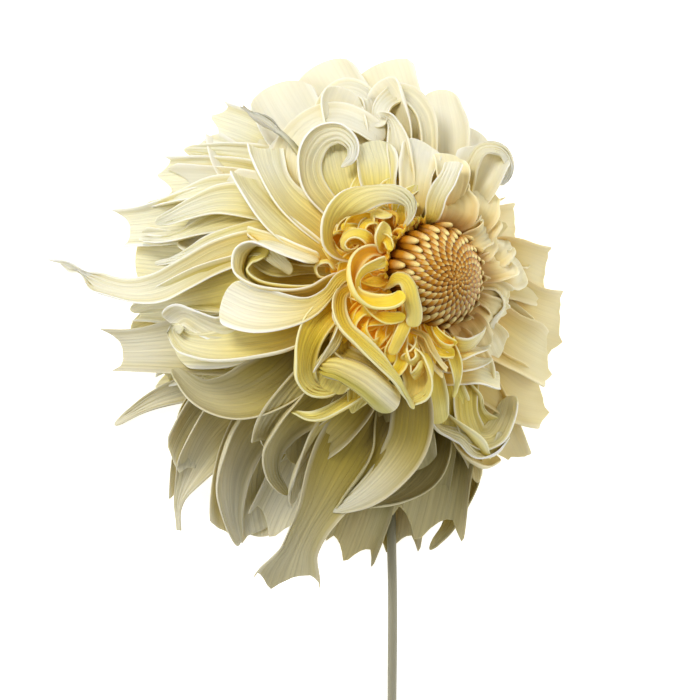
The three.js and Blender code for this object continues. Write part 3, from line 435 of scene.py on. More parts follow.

# foot, body, tip and rim colours, as they look in white light, with painted light in them: the darker feet
# are partly the petals' yellow base and partly painted shade deep in the head, the olive, moss and grey tones
# of the petals below are partly painted shade, the pale rims are painted highlight and the darker rims of the
# olive, moss, grey and ash tones painted shade
TONES = {
    "white": ((228, 200, 60), (240, 232, 194), (247, 243, 228), (255, 254, 248)),
    "haze": ((222, 196, 100), (238, 229, 196), (240, 236, 221), (245, 242, 230)),
    "pale": ((216, 176, 24), (237, 219, 116), (245, 239, 206), (254, 252, 242)),
    "milk": ((220, 178, 36), (240, 227, 158), (248, 245, 226), (255, 253, 246)),
    "cream": ((220, 172, 14), (242, 219, 78), (248, 236, 150), (255, 251, 214)),
    "lemon": ((238, 156, 4), (250, 208, 26), (252, 226, 70), (255, 252, 196)),
    "gold": ((205, 98, 5), (242, 163, 16), (250, 198, 44), (252, 218, 88)),
    "warm": ((196, 138, 44), (230, 206, 128), (240, 228, 184), (248, 240, 212)),
    "tan": ((190, 122, 40), (228, 196, 118), (240, 226, 176), (248, 240, 206)),
    "olive": ((104, 84, 6), (162, 145, 58), (206, 198, 154), (190, 182, 142)),
    "moss": ((112, 90, 4), (180, 161, 60), (202, 195, 160), (208, 201, 172)),
    "ash": ((222, 190, 80), (238, 228, 180), (224, 222, 212), (168, 164, 152)),
    "blush": ((200, 128, 44), (240, 214, 146), (248, 238, 202), (250, 244, 220)),
    "grey": ((120, 98, 6), (192, 173, 70), (228, 223, 202), (204, 198, 172)),
    "leaf": ((92, 100, 36), (122, 130, 60), (150, 150, 86), (170, 168, 110)),
    "stalk": ((146, 142, 110), (156, 152, 124), (172, 168, 148), (172, 168, 148)),
}
SOFT_TONES = ("haze", "warm", "tan", "blush")  # little contrast, for the petals that the photograph blurs


# ---------------------------------------------------------------- shape of a petal
def smooth(a, b, x):
    s = np.clip((np.asarray(x, float) - a) / (b - a), 0, 1)
    return s * s * (3 - 2 * s)


def unit(v):
    return v / np.maximum(np.linalg.norm(v, axis=-1, keepdims=True), 1e-9)


def from_crown(x, y, depth):
    """A route point's place, from its depth below the crown's dome."""
    cx, cy, top, radius = CROWN
    return np.array([x, y, top - ((x - cx) ** 2 + (y - cy) ** 2) / (2 * radius) - depth])


def to_route(places):
    """Places as route points: x, y and depth below the crown's dome."""
    return [[*p[:2], from_crown(p[0], p[1], 0)[2] - p[2]] for p in places]


def receptacle_radius(height):
    return RECEPTACLE_RADIUS * math.sqrt(max(0.03, 1 - (-height / RECEPTACLE_LENGTH) ** 2.4))


def foot_point(height, towards):
    out = towards - BASE
    out = unit(out - AXIS * out.dot(AXIS))
    return BASE + AXIS * height + out * (receptacle_radius(height) + GAP)


def even_points(points, count):
    """Even points along a centripetal Catmull-Rom curve, the curve's directions there, and its length."""
    p = np.array([2 * points[0] - points[1], *points, 2 * points[-1] - points[-2]])
    s = np.linspace(0, 1, 41)[:, None]
    pieces = []
    for p0, p1, p2, p3 in zip(p, p[1:], p[2:], p[3:]):
        d0, d1, d2 = (max(np.linalg.norm(b - a) ** 0.5, 1e-6) for a, b in ((p0, p1), (p1, p2), (p2, p3)))
        m1 = ((p1 - p0) / d0 - (p2 - p0) / (d0 + d1) + (p2 - p1) / d1) * d1
        m2 = ((p2 - p1) / d1 - (p3 - p1) / (d1 + d2) + (p3 - p2) / d2) * d1
        piece = (2 * s**3 - 3 * s**2 + 1) * p1 + (s**3 - 2 * s**2 + s) * m1
        pieces.append((piece + (3 * s**2 - 2 * s**3) * p2 + (s**3 - s**2) * m2)[:-1])
    dense = np.vstack([*pieces, points[-1][None]])
    walked = np.concatenate([[0], np.cumsum(np.linalg.norm(np.diff(dense, axis=0), axis=1))])
    at = np.linspace(0, walked[-1], count)
    even = np.stack([np.interp(at, walked, dense[:, k]) for k in range(3)], 1)
    return even, unit(np.gradient(even, axis=0)), walked[-1]


def turn_about(vector, axis, angle):
    return vector * math.cos(angle) + np.cross(axis, vector) * math.sin(angle)


FACING_START, FACING_SPAN = 0.34, 0.66  # share of a petal up to its first facing, and from there to the tip


def frames_along(points, count, facing):
    """Centres, across directions, face directions and the length. The frame is carried along without twisting
    and then turned to the facings in the table."""
    centre, tangent, length = even_points(points, count)
    normal = AXIS.copy()
    carried = []
    for direction in tangent:
        normal = unit(normal - direction * normal.dot(direction))
        carried.append(normal)
    kind, directions = facing
    stops = [(0.0, 0.0)]
    sign = 0
    for k, direction in enumerate(directions):
        t = 1.0 if len(directions) == 1 else FACING_START + FACING_SPAN * k / (len(directions) - 1)
        i = round(t * (count - 1))
        wanted = np.array(direction, float)
        if kind == "side":
            wanted = np.cross(wanted, tangent[i])
        if sign == 0:
            sign = -1 if kind == "side" and wanted.dot(carried[i]) < 0 else 1
        wanted = wanted * sign
        angle = math.atan2(wanted.dot(np.cross(tangent[i], carried[i])), wanted.dot(carried[i]))
        angle -= 2 * math.pi * round((angle - stops[-1][1]) / (2 * math.pi))
        stops.append((t, angle))
    share = np.linspace(0, 1, count)
    angle = np.zeros(count)
    for (t0, a0), (t1, a1) in zip(stops, stops[1:]):
        angle = np.where(share > t0, a0 + (a1 - a0) * smooth(t0, t1, share), angle)
    normals = np.array([turn_about(n, d, a) for n, d, a in zip(carried, tangent, angle)])
    return centre, np.cross(tangent, normals), normals, length


# Outlines that only narrow towards the tip: the share of width lost, and where along the petal.
NARROWING = {"point": (0.9, 0.55, 1.0), "bat": (0.5, 0.35, 0.95), "strap": (0.18, 0.7, 1.0)}


def width_share(outline, t):
    """Share of the full width at t along the petal."""
    claw = CLAW_SHARE + (1 - CLAW_SHARE) * smooth(0, 0.42, t)
    if outline in NARROWING:
        lost, start, end = NARROWING[outline]
        return claw * (1 - lost * smooth(start, end, t))
    if outline == "leaf":
        return claw * (1 - 0.78 * smooth(0.5, 1.05, t) ** 1.2)
    if outline == "round":
        return claw * (0.8 + 0.2 * smooth(0.4, 0.75, t))
    if outline == "great":
        return claw * (1 - 0.52 * smooth(0.42, 0.77, t) + 0.34 * smooth(0.79, 0.92, t))
    if outline == "quill":
        return 0.4 + 0.6 * smooth(0.72, 0.82, t) - 0.94 * smooth(0.84, 1.0, t)
    if outline == "paddle":
        return CLAW_SHARE + (1 - CLAW_SHARE) * smooth(0.3, 0.75, t)
    if outline == "neck":
        return claw * (1 - 0.35 * smooth(0.5, 0.85, t)) * (1 - 0.75 * np.exp(-(((t - 0.89) / 0.035) ** 2)))
    return claw


# Ragged tips: the depth between the points, and each point's place across, set-back and reach.
POINTS = {
    "tooth": (0.42, ((-0.92, 0.15, 0.75), (0.1, 0.0, 0.75), (0.96, 0.28, 0.7))),
    "bat": (0.24, ((-1.0, 0.12, 1.0), (0.97, 0.0, 0.95))),
    "fork": (0.5, ((-0.7, 0.0, 0.8), (0.8, 0.12, 0.8))),
    "great": (0.42, ((-1.0, 0.33, 0.8), (0.35, 0.0, 1.2), (1.0, 0.22, 0.6))),
}


def tip_setback(outline, v):
    """How far the tip is set back at v across the petal, as a share of its width."""
    if outline in POINTS:
        depth, points = POINTS[outline]
        back = [base + depth * (1 - (1 - np.clip(np.abs(v - at) / reach, 0, 1)) ** 2)
                for at, base, reach in points]
        return np.minimum.reduce(back)
    if outline == "lobe":
        return 0.14 + 0.3 * v * v - 0.14 * np.clip(1 - np.abs(v - 0.35) / 0.25, 0, 1) ** 1.5
    if outline in ("square", "neck"):
        return 0.16 * v**4
    if outline in ("point", "quill"):
        return 0 * v
    return 0.48 * (1 - np.sqrt(1 - 0.96 * v * v))


EDGE_STEPS = (0.0, 0.12, 0.45, 1.0)  # rows and columns that round a petal's edge, in thicknesses from it
ROW_STEP = 1.6
ROW_LIMITS = (14, 80)
INNER_COLUMNS = 13
FINE = 6  # places of the frame for each row
LEAST_HALF_WIDTH = 1.3  # in thicknesses


def petal_grid(width, outline, thick, length):
    """Shares along (u, a value a row) and across (v) the petal: even inside, close together at its edges."""
    step = thick / length
    rows = int(np.clip(length / ROW_STEP, *ROW_LIMITS))
    u = np.concatenate([[s * step for s in EDGE_STEPS[:-1]], np.linspace(step, 1 - step, rows),
                        [1 - s * step for s in EDGE_STEPS[-2::-1]]])
    half = np.maximum(width / 2 * width_share(outline, u), thick * LEAST_HALF_WIDTH)
    edge = np.array(EDGE_STEPS[:-1])[None] * thick / half[:, None]
    inner = np.linspace(-1, 1, INNER_COLUMNS)[None] * (1 - thick / half[:, None])
    return u, np.hstack([-1 + edge, inner, 1 - edge[:, ::-1]]), half, rows


def rounded(x):
    return np.sqrt(np.clip(1 - (1 - np.clip(x, 0, 1)) ** 2, 0, 1))


def quads(grid):
    return np.stack([grid[:-1, :-1], grid[:-1, 1:], grid[1:, 1:], grid[1:, :-1]], -1).reshape(-1, 4)


def ribbon(points, width, facing, cup, outline, look, seed):
    """Vertices, faces and the along, across and tint of a closed petal with rounded edges."""
    rng = np.random.default_rng(seed)
    thick = look["thick"]
    u, v, half, rows = petal_grid(width, outline, thick, even_points(points, 200)[2])
    fine = rows * FINE
    centre, across, normal, length = frames_along(points, fine + 1, facing)
    t = u[:, None] - tip_setback(outline, v) * width * u[:, None] ** 4 / length
    place = np.clip(t, 0, 1) * fine
    i = np.minimum(place.astype(int), fine - 1)
    f = (place - i)[..., None]
    c, s, n = (values[i] * (1 - f) + values[i + 1] * f for values in (centre, across, normal))
    s, n = unit(s), unit(n)
    phase = rng.uniform(0, 2 * math.pi, 6)

    # the cross-section: bent by cup, with the edges rolled further
    cups = cup if isinstance(cup, tuple) else (1.25 * cup, cup, cup)
    bend = np.radians(np.interp(t, (0.1, 0.55, 1.0), cups)) / 2
    roll = np.radians(np.where(v < 0, *look["roll"]))
    roll = roll * smooth(0.15, 0.5, t) * (1 - 0.4 * smooth(0.8, 1, t))
    theta = bend * v + roll * np.sign(v) * np.abs(v) ** 4
    middle = v.shape[1] // 2

    def summed(slope):
        """How far the cross-section has gone at each column, from the middle one."""
        steps = (slope[:, 1:] + slope[:, :-1]) / 2 * np.diff(v, axis=1)
        gone = np.hstack([np.zeros((len(u), 1)), np.cumsum(steps, axis=1)])
        return gone - gone[:, middle:middle + 1]

    reach = np.maximum(width / 2 * width_share(outline, t), thick * LEAST_HALF_WIDTH)
    wander = np.sin(6.5 * t + phase[4] + 2 * np.sign(v)) + 0.6 * np.sin(15 * t + phase[5] - 1.5 * np.sign(v))
    sideways = summed(np.cos(theta)) * reach * (1 + 0.06 * wander * v * v * smooth(0.2, 0.6, t))
    lift = summed(np.sin(theta)) * reach

    # ruffled edges, soft ridges along the petal, a slow unevenness and a raised tip
    swell = smooth(0.15, 0.6, t)
    height, waves = look["ruffle"]
    ruffle = height * np.abs(v) ** 2.5 * swell * np.sin(2 * math.pi * waves * t + phase[0] + 1.3 * np.sign(v))
    ridges = look["ridge"] * smooth(0.1, 0.5, t) * (1 - smooth(0.85, 1, t))
    ridges = ridges * np.cos(5.3 * math.pi * v + phase[1])
    uneven = 0.35 * swell * (np.sin(5 * t + 2.1 * v + phase[2]) + 0.6 * np.sin(9 * t - 3.2 * v + phase[3]))
    lift = lift + ruffle + ridges + uneven + look["lip"] * smooth(0.84, 1.0, t) ** 2

    # the front and the back, half a thickness to each side
    mid = c + s * sideways[..., None] + n * lift[..., None]
    out = unit(np.cross(np.gradient(mid, axis=1), np.gradient(mid, axis=0)))
    flip = np.sign(np.sum(out * n, axis=-1, keepdims=True).mean())
    out = out * (flip if flip else 1)
    off_side = (1 - np.abs(v)) * half[:, None] / thick
    off_end = np.minimum(u, 1 - u)[:, None] / (thick / length)
    body = (thick / 2 * rounded(off_side) * rounded(off_end))[..., None]
    inside = np.zeros(v.shape, bool)
    inside[1:-1, 1:-1] = True
    ids = np.arange(v.size).reshape(v.shape)
    back_ids = ids.copy()
    back_ids[inside] = v.size + np.arange(inside.sum())
    faces = np.vstack([quads(ids)[:, ::-1] if flip < 0 else quads(ids),
                       quads(back_ids) if flip < 0 else quads(back_ids)[:, ::-1]])

    def both(front, back):
        return np.concatenate([front.reshape(-1, *front.shape[2:]), back[inside]])

    tint = petal_tint(look, t, v, mid, rng)
    return both(mid + out * body, mid - out * body), faces, both(t, t), both(v, v), both(tint, tint)


def linear(colour):
    c = np.asarray(colour, float) / 255
    return np.where(c <= 0.04045, c / 12.92, ((c + 0.055) / 1.055) ** 2.4)


HEART = np.array([-19.0, -10.0, 80.0])  # middle of the yellow curls
HEART_REACH = 27.0
HEART_COLOUR = (255, 216, 30)
HEART_SHARE = 0.8
PAINTED_RIM_SHARE = 0.75
# the soft tones take less of the painted rim and of the painted shade line inside it
SOFT_SHARE = 0.35  # of the rim and the line inside it, on the soft tones
# painted shade of the line inside the rim and of the shaded flank
LINE_SHADE = (0.13, 0.15, 0.28)
FLANK_SHADE = (0.36, 0.36, 0.75)
STREAK_SHARE = 0.03


def petal_tint(look, t, v, spots, rng):
    """Colour over a petal: foot to tip, a painted rim, a painted shade line inside it and on the shaded
    flank, soft lengthwise streaks and the flower's yellow heart.
    """
    foot, body, tip, rim = (linear(c) for c in TONES[look["tone"]])
    a = smooth(0.08, 0.62, t)[..., None]
    b = smooth(0.42, 0.9, t)[..., None]
    colour = foot * (1 - a) + body * a
    colour = colour * (1 - b) + tip * b
    soft = SOFT_SHARE if look["tone"] in SOFT_TONES else 1.0
    # painted rim: a highlight along the edge, or shade on the darker tones
    r = (smooth(look["rim"], 0.97, np.abs(v)) * PAINTED_RIM_SHARE * soft)[..., None]
    colour = colour * (1 - r) + rim * r
    # painted shade: a darker line just inside the rim, where the edge rolls over
    line = np.exp(-(((np.abs(v) - 0.72) / 0.11) ** 2)) * smooth(0.15, 0.4, t) * soft
    colour = colour * (1 - line[..., None] * LINE_SHADE)
    # painted shade on one flank
    flank = smooth(-0.1, 0.3, look["flank"] * v) * smooth(0.1, 0.4, t) * (1 - 0.8 * smooth(0.8, 1, np.abs(v)))
    colour = colour * (1 - flank[..., None] * FLANK_SHADE)
    p = rng.uniform(0, 2 * math.pi, 4)
    streak = np.sin(5 * v + p[0]) + 0.7 * np.sin(11 * v + p[1] + t) + 0.5 * np.sin(19 * v + p[2] - 2 * t)
    colour = colour * (1 + STREAK_SHARE * (streak * (1 - 0.6 * smooth(0.5, 1, t))))[..., None]
    away = (spots - HEART) * (1, 1, 0.5) / HEART_REACH
    glow = np.exp(-np.sum(away**2, axis=-1, keepdims=True)) * look["glow"] * (1 - 0.9 * r)
    heart = linear(HEART_COLOUR) * colour.max(axis=-1, keepdims=True)
    colour = colour * (1 - HEART_SHARE * glow) + heart * HEART_SHARE * glow
    # the alpha is the heart's share, which scales the painted glow in the hollows
    return np.concatenate([colour, glow], axis=-1)


# ---------------------------------------------------------------- Blender helpers
def new_mesh(name, verts, faces, material, slot, along, across, colour):
    mesh = bpy.data.meshes.new(name)
    mesh.from_pydata(to_frame(verts).tolist(), [], [[int(i) for i in f] for f in faces])
    mesh.polygons.foreach_set("use_smooth", [True] * len(mesh.polygons))
    for key, values in (("along", along), ("across", across)):
        mesh.attributes.new(key, "FLOAT", "POINT").data.foreach_set("value", np.asarray(values, np.float32))
    layer = mesh.color_attributes.new("tint", "FLOAT_COLOR", "POINT")
    layer.data.foreach_set("color", np.asarray(colour, np.float32).ravel())
    mesh.materials.append(material)
    mesh.validate()
    mesh.update()
    piece = bpy.data.objects.new(name, mesh)
    bpy.context.collection.objects.link(piece)
    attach(piece, "root")
    return piece


def new_material(name):
    mat = bpy.data.materials.new(name)
    mat.use_nodes = True
    tree = mat.node_tree
    tree.nodes.clear()
    shader = add_node(tree, "BsdfPrincipled")
    add_node(tree, "OutputMaterial", {0: shader})
    return mat, tree, shader


def fill(node, inputs):
    """Joins the inputs that are given as nodes or sockets, and sets the others to their constant value."""
    for key, value in inputs.items():
        if isinstance(value, bpy.types.Node):
            value = value.outputs[0]
        if isinstance(value, bpy.types.NodeSocket):
            node.id_data.links.new(value, node.inputs[key])
        else:
            node.inputs[key].default_value = value


def add_node(tree, kind, inputs=None, **settings):
    node = tree.nodes.new("ShaderNode" + kind)
    for key, value in settings.items():
        setattr(node, key, value)
    fill(node, inputs or {})
    return node


def map_range(tree, value, from_min, from_max, to_min=0.0, to_max=1.0):
    limits = {"From Min": from_min, "From Max": from_max, "To Min": to_min, "To Max": to_max}
    return add_node(tree, "MapRange", {"Value": value, **limits})


# Painted shade in the hollows: what a hollow's colour is multiplied by, tinted like light that has passed
# through petals.
HOLLOW_SHADE_COLOUR = (0.86, 0.76, 0.2)
HEART_HOLLOW_SHADE_COLOUR = (0.97, 0.7, 0.1)
SOFT_HOLLOW_SHADE_COLOUR = (0.93, 0.84, 0.5)
GREEN_HOLLOW_SHADE_COLOUR = (0.6, 0.62, 0.3)
FLORET_HOLLOW_SHADE_COLOUR = (0.5, 0.23, 0.02)


def paint_shade_in_hollows(tree, colour, shade_colour, distance):
    """How deep in a hollow a spot is, and the colour there, darkened by painted shade as deep as the hollow
    is. The distance, in metres, is a hollow's size.
    """
    hollow = add_node(tree, "AmbientOcclusion", {"Distance": distance}, samples=6)
    depth = map_range(tree, hollow.outputs["AO"], 0.0, 0.7, 1.0, 0.0)
    deep = add_node(tree, "Mix", {"Factor": depth, "A": colour, "B": (*shade_colour, 1)},
                    data_type="RGBA", blend_type="MULTIPLY")
    return depth, deep.outputs["Result"]


# strength of the painted glow in the hollows of the yellow heart
HOLLOW_PAINTED_GLOW = 0.16


def petal_material(name, shade_colour, detail, hollow=0.014):
    """The mesh's tint under fine streaks and veins, as strong as detail says, with painted shade in the
    hollows and a painted glow in the hollows of the yellow heart.
    """
    mat, tree, shader = new_material(name)
    tint = add_node(tree, "Attribute", attribute_name="tint")
    along = add_node(tree, "Attribute", attribute_name="along").outputs["Fac"]
    across = add_node(tree, "Attribute", attribute_name="across").outputs["Fac"]

    # fine streaks that run the petal's length, different on every petal
    place = add_node(tree, "CombineXYZ", {0: across, 1: along})
    spread = add_node(tree, "VectorMath", {0: place, 1: (14.0, 1.6, 1.0)}, operation="MULTIPLY")
    position = add_node(tree, "NewGeometry").outputs["Position"]
    far = add_node(tree, "VectorMath", {0: position, 1: (12.0, 12.0, 12.0), 2: spread},
                   operation="MULTIPLY_ADD")
    noise = add_node(tree, "TexNoise", {"Vector": far, "Scale": 1.0, "Detail": 3.0, "Roughness": 0.55})
    streaks = noise.outputs["Fac"]

    # veins: evenly spaced lines along the petal, bent by the streaks
    lines = add_node(tree, "Math", {0: across, 1: 44.0}, operation="MULTIPLY")
    bent = add_node(tree, "Math", {0: streaks, 1: 9.0, 2: lines}, operation="MULTIPLY_ADD")
    vein = map_range(tree, add_node(tree, "Math", {0: bent}, operation="SINE"), 0.55, 1.0)
    streaked = map_range(tree, streaks, 0.3, 0.7, 1 - 0.14 * detail, 1 + 0.04 * detail)
    veined = add_node(tree, "Math", {0: vein, 1: -0.07 * detail, 2: streaked}, operation="MULTIPLY_ADD")
    scaled = add_node(tree, "VectorMath", {0: tint, "Scale": veined}, operation="SCALE")
    # painted shade, deeper in the hollows
    depth, colour = paint_shade_in_hollows(tree, scaled, shade_colour, hollow)
    height = add_node(tree, "Math", {0: vein, 1: -0.6, 2: streaks}, operation="MULTIPLY_ADD")
    bump = add_node(tree, "Bump", {"Strength": 0.6 * detail, "Distance": 0.00025, "Height": height})

    # painted glow: an emission in the hollows of the yellow heart that stands in for light coming through the
    # petals
    mat.cycles.emission_sampling = "NONE"
    lit = add_node(tree, "Math", {0: depth, 1: tint.outputs["Alpha"]}, operation="MULTIPLY")
    glow = add_node(tree, "Math", {0: lit, 1: HOLLOW_PAINTED_GLOW}, operation="MULTIPLY")

    fill(shader, {
        "Base Color": colour, "Normal": bump, "Roughness": map_range(tree, streaks, 0.2, 0.8, 0.42, 0.62),
        "Subsurface Weight": 0.4, "Subsurface Scale": 0.0015, "Subsurface Radius": (1.0, 0.85, 0.55),
        "Sheen Weight": 0.15, "Sheen Roughness": 0.5, "Specular IOR Level": 0.4,
        "Emission Color": colour, "Emission Strength": glow,
    })
    return mat


def noise_on(tree, scale, detail):
    where = add_node(tree, "TexCoord").outputs["Object"]
    return add_node(tree, "TexNoise", {"Vector": where, "Scale": scale, "Detail": detail}).outputs["Fac"]


def floret_material():
    mat, tree, shader = new_material("floret_skin")
    tint = add_node(tree, "Attribute", attribute_name="tint")
    noise = noise_on(tree, 900.0, 3.0)
    level = map_range(tree, noise, 0.3, 0.7, 0.85, 1.1)
    scaled = add_node(tree, "VectorMath", {0: tint, "Scale": level}, operation="SCALE")
    # painted shade in the gaps between the florets
    colour = paint_shade_in_hollows(tree, scaled, FLORET_HOLLOW_SHADE_COLOUR, 0.003)[1]
    bump = add_node(tree, "Bump", {"Strength": 0.3, "Distance": 0.0001, "Height": noise})
    fill(shader, {
        "Base Color": colour, "Normal": bump, "Roughness": 0.32, "Specular IOR Level": 0.3,
        "Subsurface Weight": 0.15, "Subsurface Scale": 0.0008, "Subsurface Radius": (1.0, 0.7, 0.3),
    })
    return mat


def tissue_material():
    """Plain mottled tissue for the receptacle."""
    mat, tree, shader = new_material("receptacle_tissue")
    noise = noise_on(tree, 400.0, 4.0)
    ramp = add_node(tree, "ValToRGB", {0: noise})
    base = linear((170, 160, 84))
    for element, position, shade in zip(ramp.color_ramp.elements, (0.3, 0.7), (0.8, 1.2)):
        element.position = position
        element.color = (*(base * shade), 1)
    bump = add_node(tree, "Bump", {"Strength": 0.4, "Distance": 0.0003, "Height": noise})
    fill(shader, {"Base Color": ramp, "Normal": bump, "Subsurface Weight": 0.1, "Subsurface Scale": 0.001})
    return mat


PETAL_SKIN = petal_material("petal_skin", HOLLOW_SHADE_COLOUR, 1.0)
HEART_SKIN = petal_material("heart_skin", HEART_HOLLOW_SHADE_COLOUR, 0.6, 0.009)
SOFT_SKIN = petal_material("soft_skin", SOFT_HOLLOW_SHADE_COLOUR, 0.3)
GREEN_SKIN = petal_material("green_skin", GREEN_HOLLOW_SHADE_COLOUR, 1.0)
SKINS = {"lemon": HEART_SKIN, "gold": HEART_SKIN, **{tone: SOFT_SKIN for tone in SOFT_TONES}}


# ---------------------------------------------------------------- petals
def add_petal(name, petal, look, seed, node=None):
    route = [from_crown(*p) for p in petal["route"]]
    points = np.array([foot_point(petal["foot"], route[0]), *route])
    verts, faces, *values = ribbon(points, petal["width"], petal["facing"], petal["cup"], petal["outline"],
                                   look, seed)
    skin = SKINS.get(look["tone"], HEART_SKIN if look["small"] else PETAL_SKIN)
    piece = new_mesh(name, verts, faces, skin, "petal", *values)
    if node:
        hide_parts(node)


# The first seed of each kind of petal; the big ones of the first two tables have 0 and up.
CURL_SEED, INNER_SEED, COLLAR_SEED, FILL_SEED, SCALE_SEED, BRACT_SEED = 300, 400, 470, 500, 700, 900
BROAD = 9  # a petal wider than this looks wider and deeper than its solid
BROADER, DEEPER = 1.15, 1.2

for number, (name, (petal, tone)) in enumerate({**PETALS, **EXTRA}.items()):
    if petal["width"] > BROAD:
        petal = {**petal, "width": petal["width"] * BROADER, "cup": petal["cup"] * DEEPER}
    add_petal(f"ray_{name}", petal, {**PLAIN, "tone": tone, **DETAILS.get(name, {})}, number,
              f"petal_{name}" if name in PETALS else None)

for number, (name, (petal, tone)) in enumerate(CURLS.items()):
    add_petal(name, petal, {**SMALL, "tone": tone}, CURL_SEED + number)

# Smaller ones between and under those, in three layers. Each follows a spiral of its own from the disc's rim.
INNER_CURLS = 64
INNER_SPAN = (math.radians(104), math.radians(292))  # from the disc's top over its left to its foot
INNER_MIDDLE = np.array([-3.0, 0.0])
INNER_REACH = 14.0
INNER_STRIDES = (2.6, 3.6, 4.8)  # from one route point to the next, in each layer
INNER_DEPTHS = (7.0, 9.5, 12.5)
INNER_RISES = (4, 1.5, 0, 0, 1.5, 3)  # extra depth of each route point
GOLD_SPAN = (2.5, 4.6)
rng = np.random.default_rng(23)
for k in range(INNER_CURLS):
    angle = INNER_SPAN[0] + (INNER_SPAN[1] - INNER_SPAN[0]) * (k + rng.uniform(0.1, 0.9)) / INNER_CURLS
    layer = k % 3
    heading = angle + rng.uniform(-0.5, 0.5)
    turn = rng.choice((-1, 1)) * rng.uniform(0.25, 0.75)
    spot = INNER_MIDDLE + (INNER_REACH + rng.uniform(0, 3)) * np.array([math.cos(angle), math.sin(angle)])
    stride = INNER_STRIDES[layer] * rng.uniform(0.85, 1.15)
    deep = INNER_DEPTHS[layer] + rng.uniform(-1, 1)
    route = []
    for i, rise in enumerate(INNER_RISES):
        route.append([*spot, deep + rise])
        spot = spot + stride * np.array([math.cos(heading), math.sin(heading)])
        heading += turn * (0.4 + 0.3 * i)
    tilt = rng.uniform(-0.6, 0.6, 2)
    petal = ray(-1 - layer, route, rng.uniform(4, 6.5), face([0.2, *tilt[:1], 1], [*tilt, 1]),
                float(rng.uniform(40, 120)), ("strap", "leaf", "round")[rng.integers(3)])
    third_tone = "gold" if GOLD_SPAN[0] < angle < GOLD_SPAN[1] else "cream"
    tone = ("lemon", "lemon", third_tone, "cream")[rng.integers(4)]
    add_petal(f"inner_{k}", petal, {**SMALL, "tone": tone, "rim": 0.85}, INNER_SEED + k)

# Short warm petals that hug the disc on its right and above, in two layers.
COLLAR = 8
COLLAR_SPAN = (math.radians(-62), math.radians(78))
COLLAR_LOOK = {**PLAIN, "tone": "blush", "ruffle": (1.6, 2.2), "glow": 0.3}
rng = np.random.default_rng(31)
for k in range(COLLAR):
    for layer in (0, 1):
        share = (k + 0.5 * layer + rng.uniform(-0.2, 0.2)) / COLLAR
        angle = COLLAR_SPAN[0] + (COLLAR_SPAN[1] - COLLAR_SPAN[0]) * share
        out = around_axis(angle)
        aside = np.cross(AXIS, out) * rng.uniform(-4, 4)
        reach = (13, 21)[layer] * rng.uniform(0.85, 1.2)
        start = BASE + out * 18.5 - AXIS * (4 + 3 * layer)
        places = [start, start + out * 2.5 + AXIS * 5 + aside * 0.3,
                  start + out * reach * 0.6 + AXIS * 6.5 + aside * 0.6,
                  start + out * reach + AXIS * rng.uniform(-3, 5) + aside]
        tilt = rng.uniform(-0.35, 0.35, 2)
        petal = ray(-3 - 2 * layer, to_route(places), rng.uniform(12, 16), face(AXIS - 0.1 * out, [*tilt, 1]),
                    float(rng.uniform(20, 60)), ("lobe", "round")[rng.integers(2)])
        add_petal(f"collar_{layer}_{k}", petal, COLLAR_LOOK, COLLAR_SEED + 20 * layer + k)

# Thin scales that stand against the disc's left side.
SCALES = 28
rng = np.random.default_rng(47)
for k in range(SCALES):
    out = around_axis(math.radians(100 + 6 * k) + rng.uniform(-0.03, 0.03))
    start = BASE + out * 18.2 - AXIS * 1.5
    places = [start, start + out * 0.6 + AXIS * 2.5,
              start + out * rng.uniform(0.2, 1.4) + AXIS * rng.uniform(4, 6.5)]
    petal = ray(-3, to_route(places), 4.5, face(out + AXIS * 0.3), 50, "point")
    add_petal(f"scale_{k}", petal, {**SMALL, "tone": ("gold", "lemon")[k % 2]}, SCALE_SEED + k)

# Broad petals in rings behind the ones above. They fill the head out to its outline in the photograph.
OUTLINE = (-33.0, -13.0, 75.0, 84.0)  # centre and half-sizes of an ellipse in plan
HANGING_SPAN = (3.4, 5.2)  # angles where the hanging petals of the table make the outline
HANGING_REACH = 0.86
HEAD_MIDDLE = np.array([-9.0, 0.0])
RINGS = (  # number, depth below the crown, share of the way to the outline, width, foot
    (19, 27, 0.72, 20, -10),
    (23, 38, 0.93, 23, -15),
    (21, 50, 0.9, 23, -19),
)


def ring_tone(angle):
    """Pale above and to the left, where the light falls, warm on the right, and olive and grey below, which
    is partly painted shade.
    """
    x, y = math.cos(angle), math.sin(angle)
    if y < -0.55:
        return "olive" if x > -0.3 else "grey"
    if x > 0.35:
        return "warm"
    return "haze" if y > 0.3 else "pale"


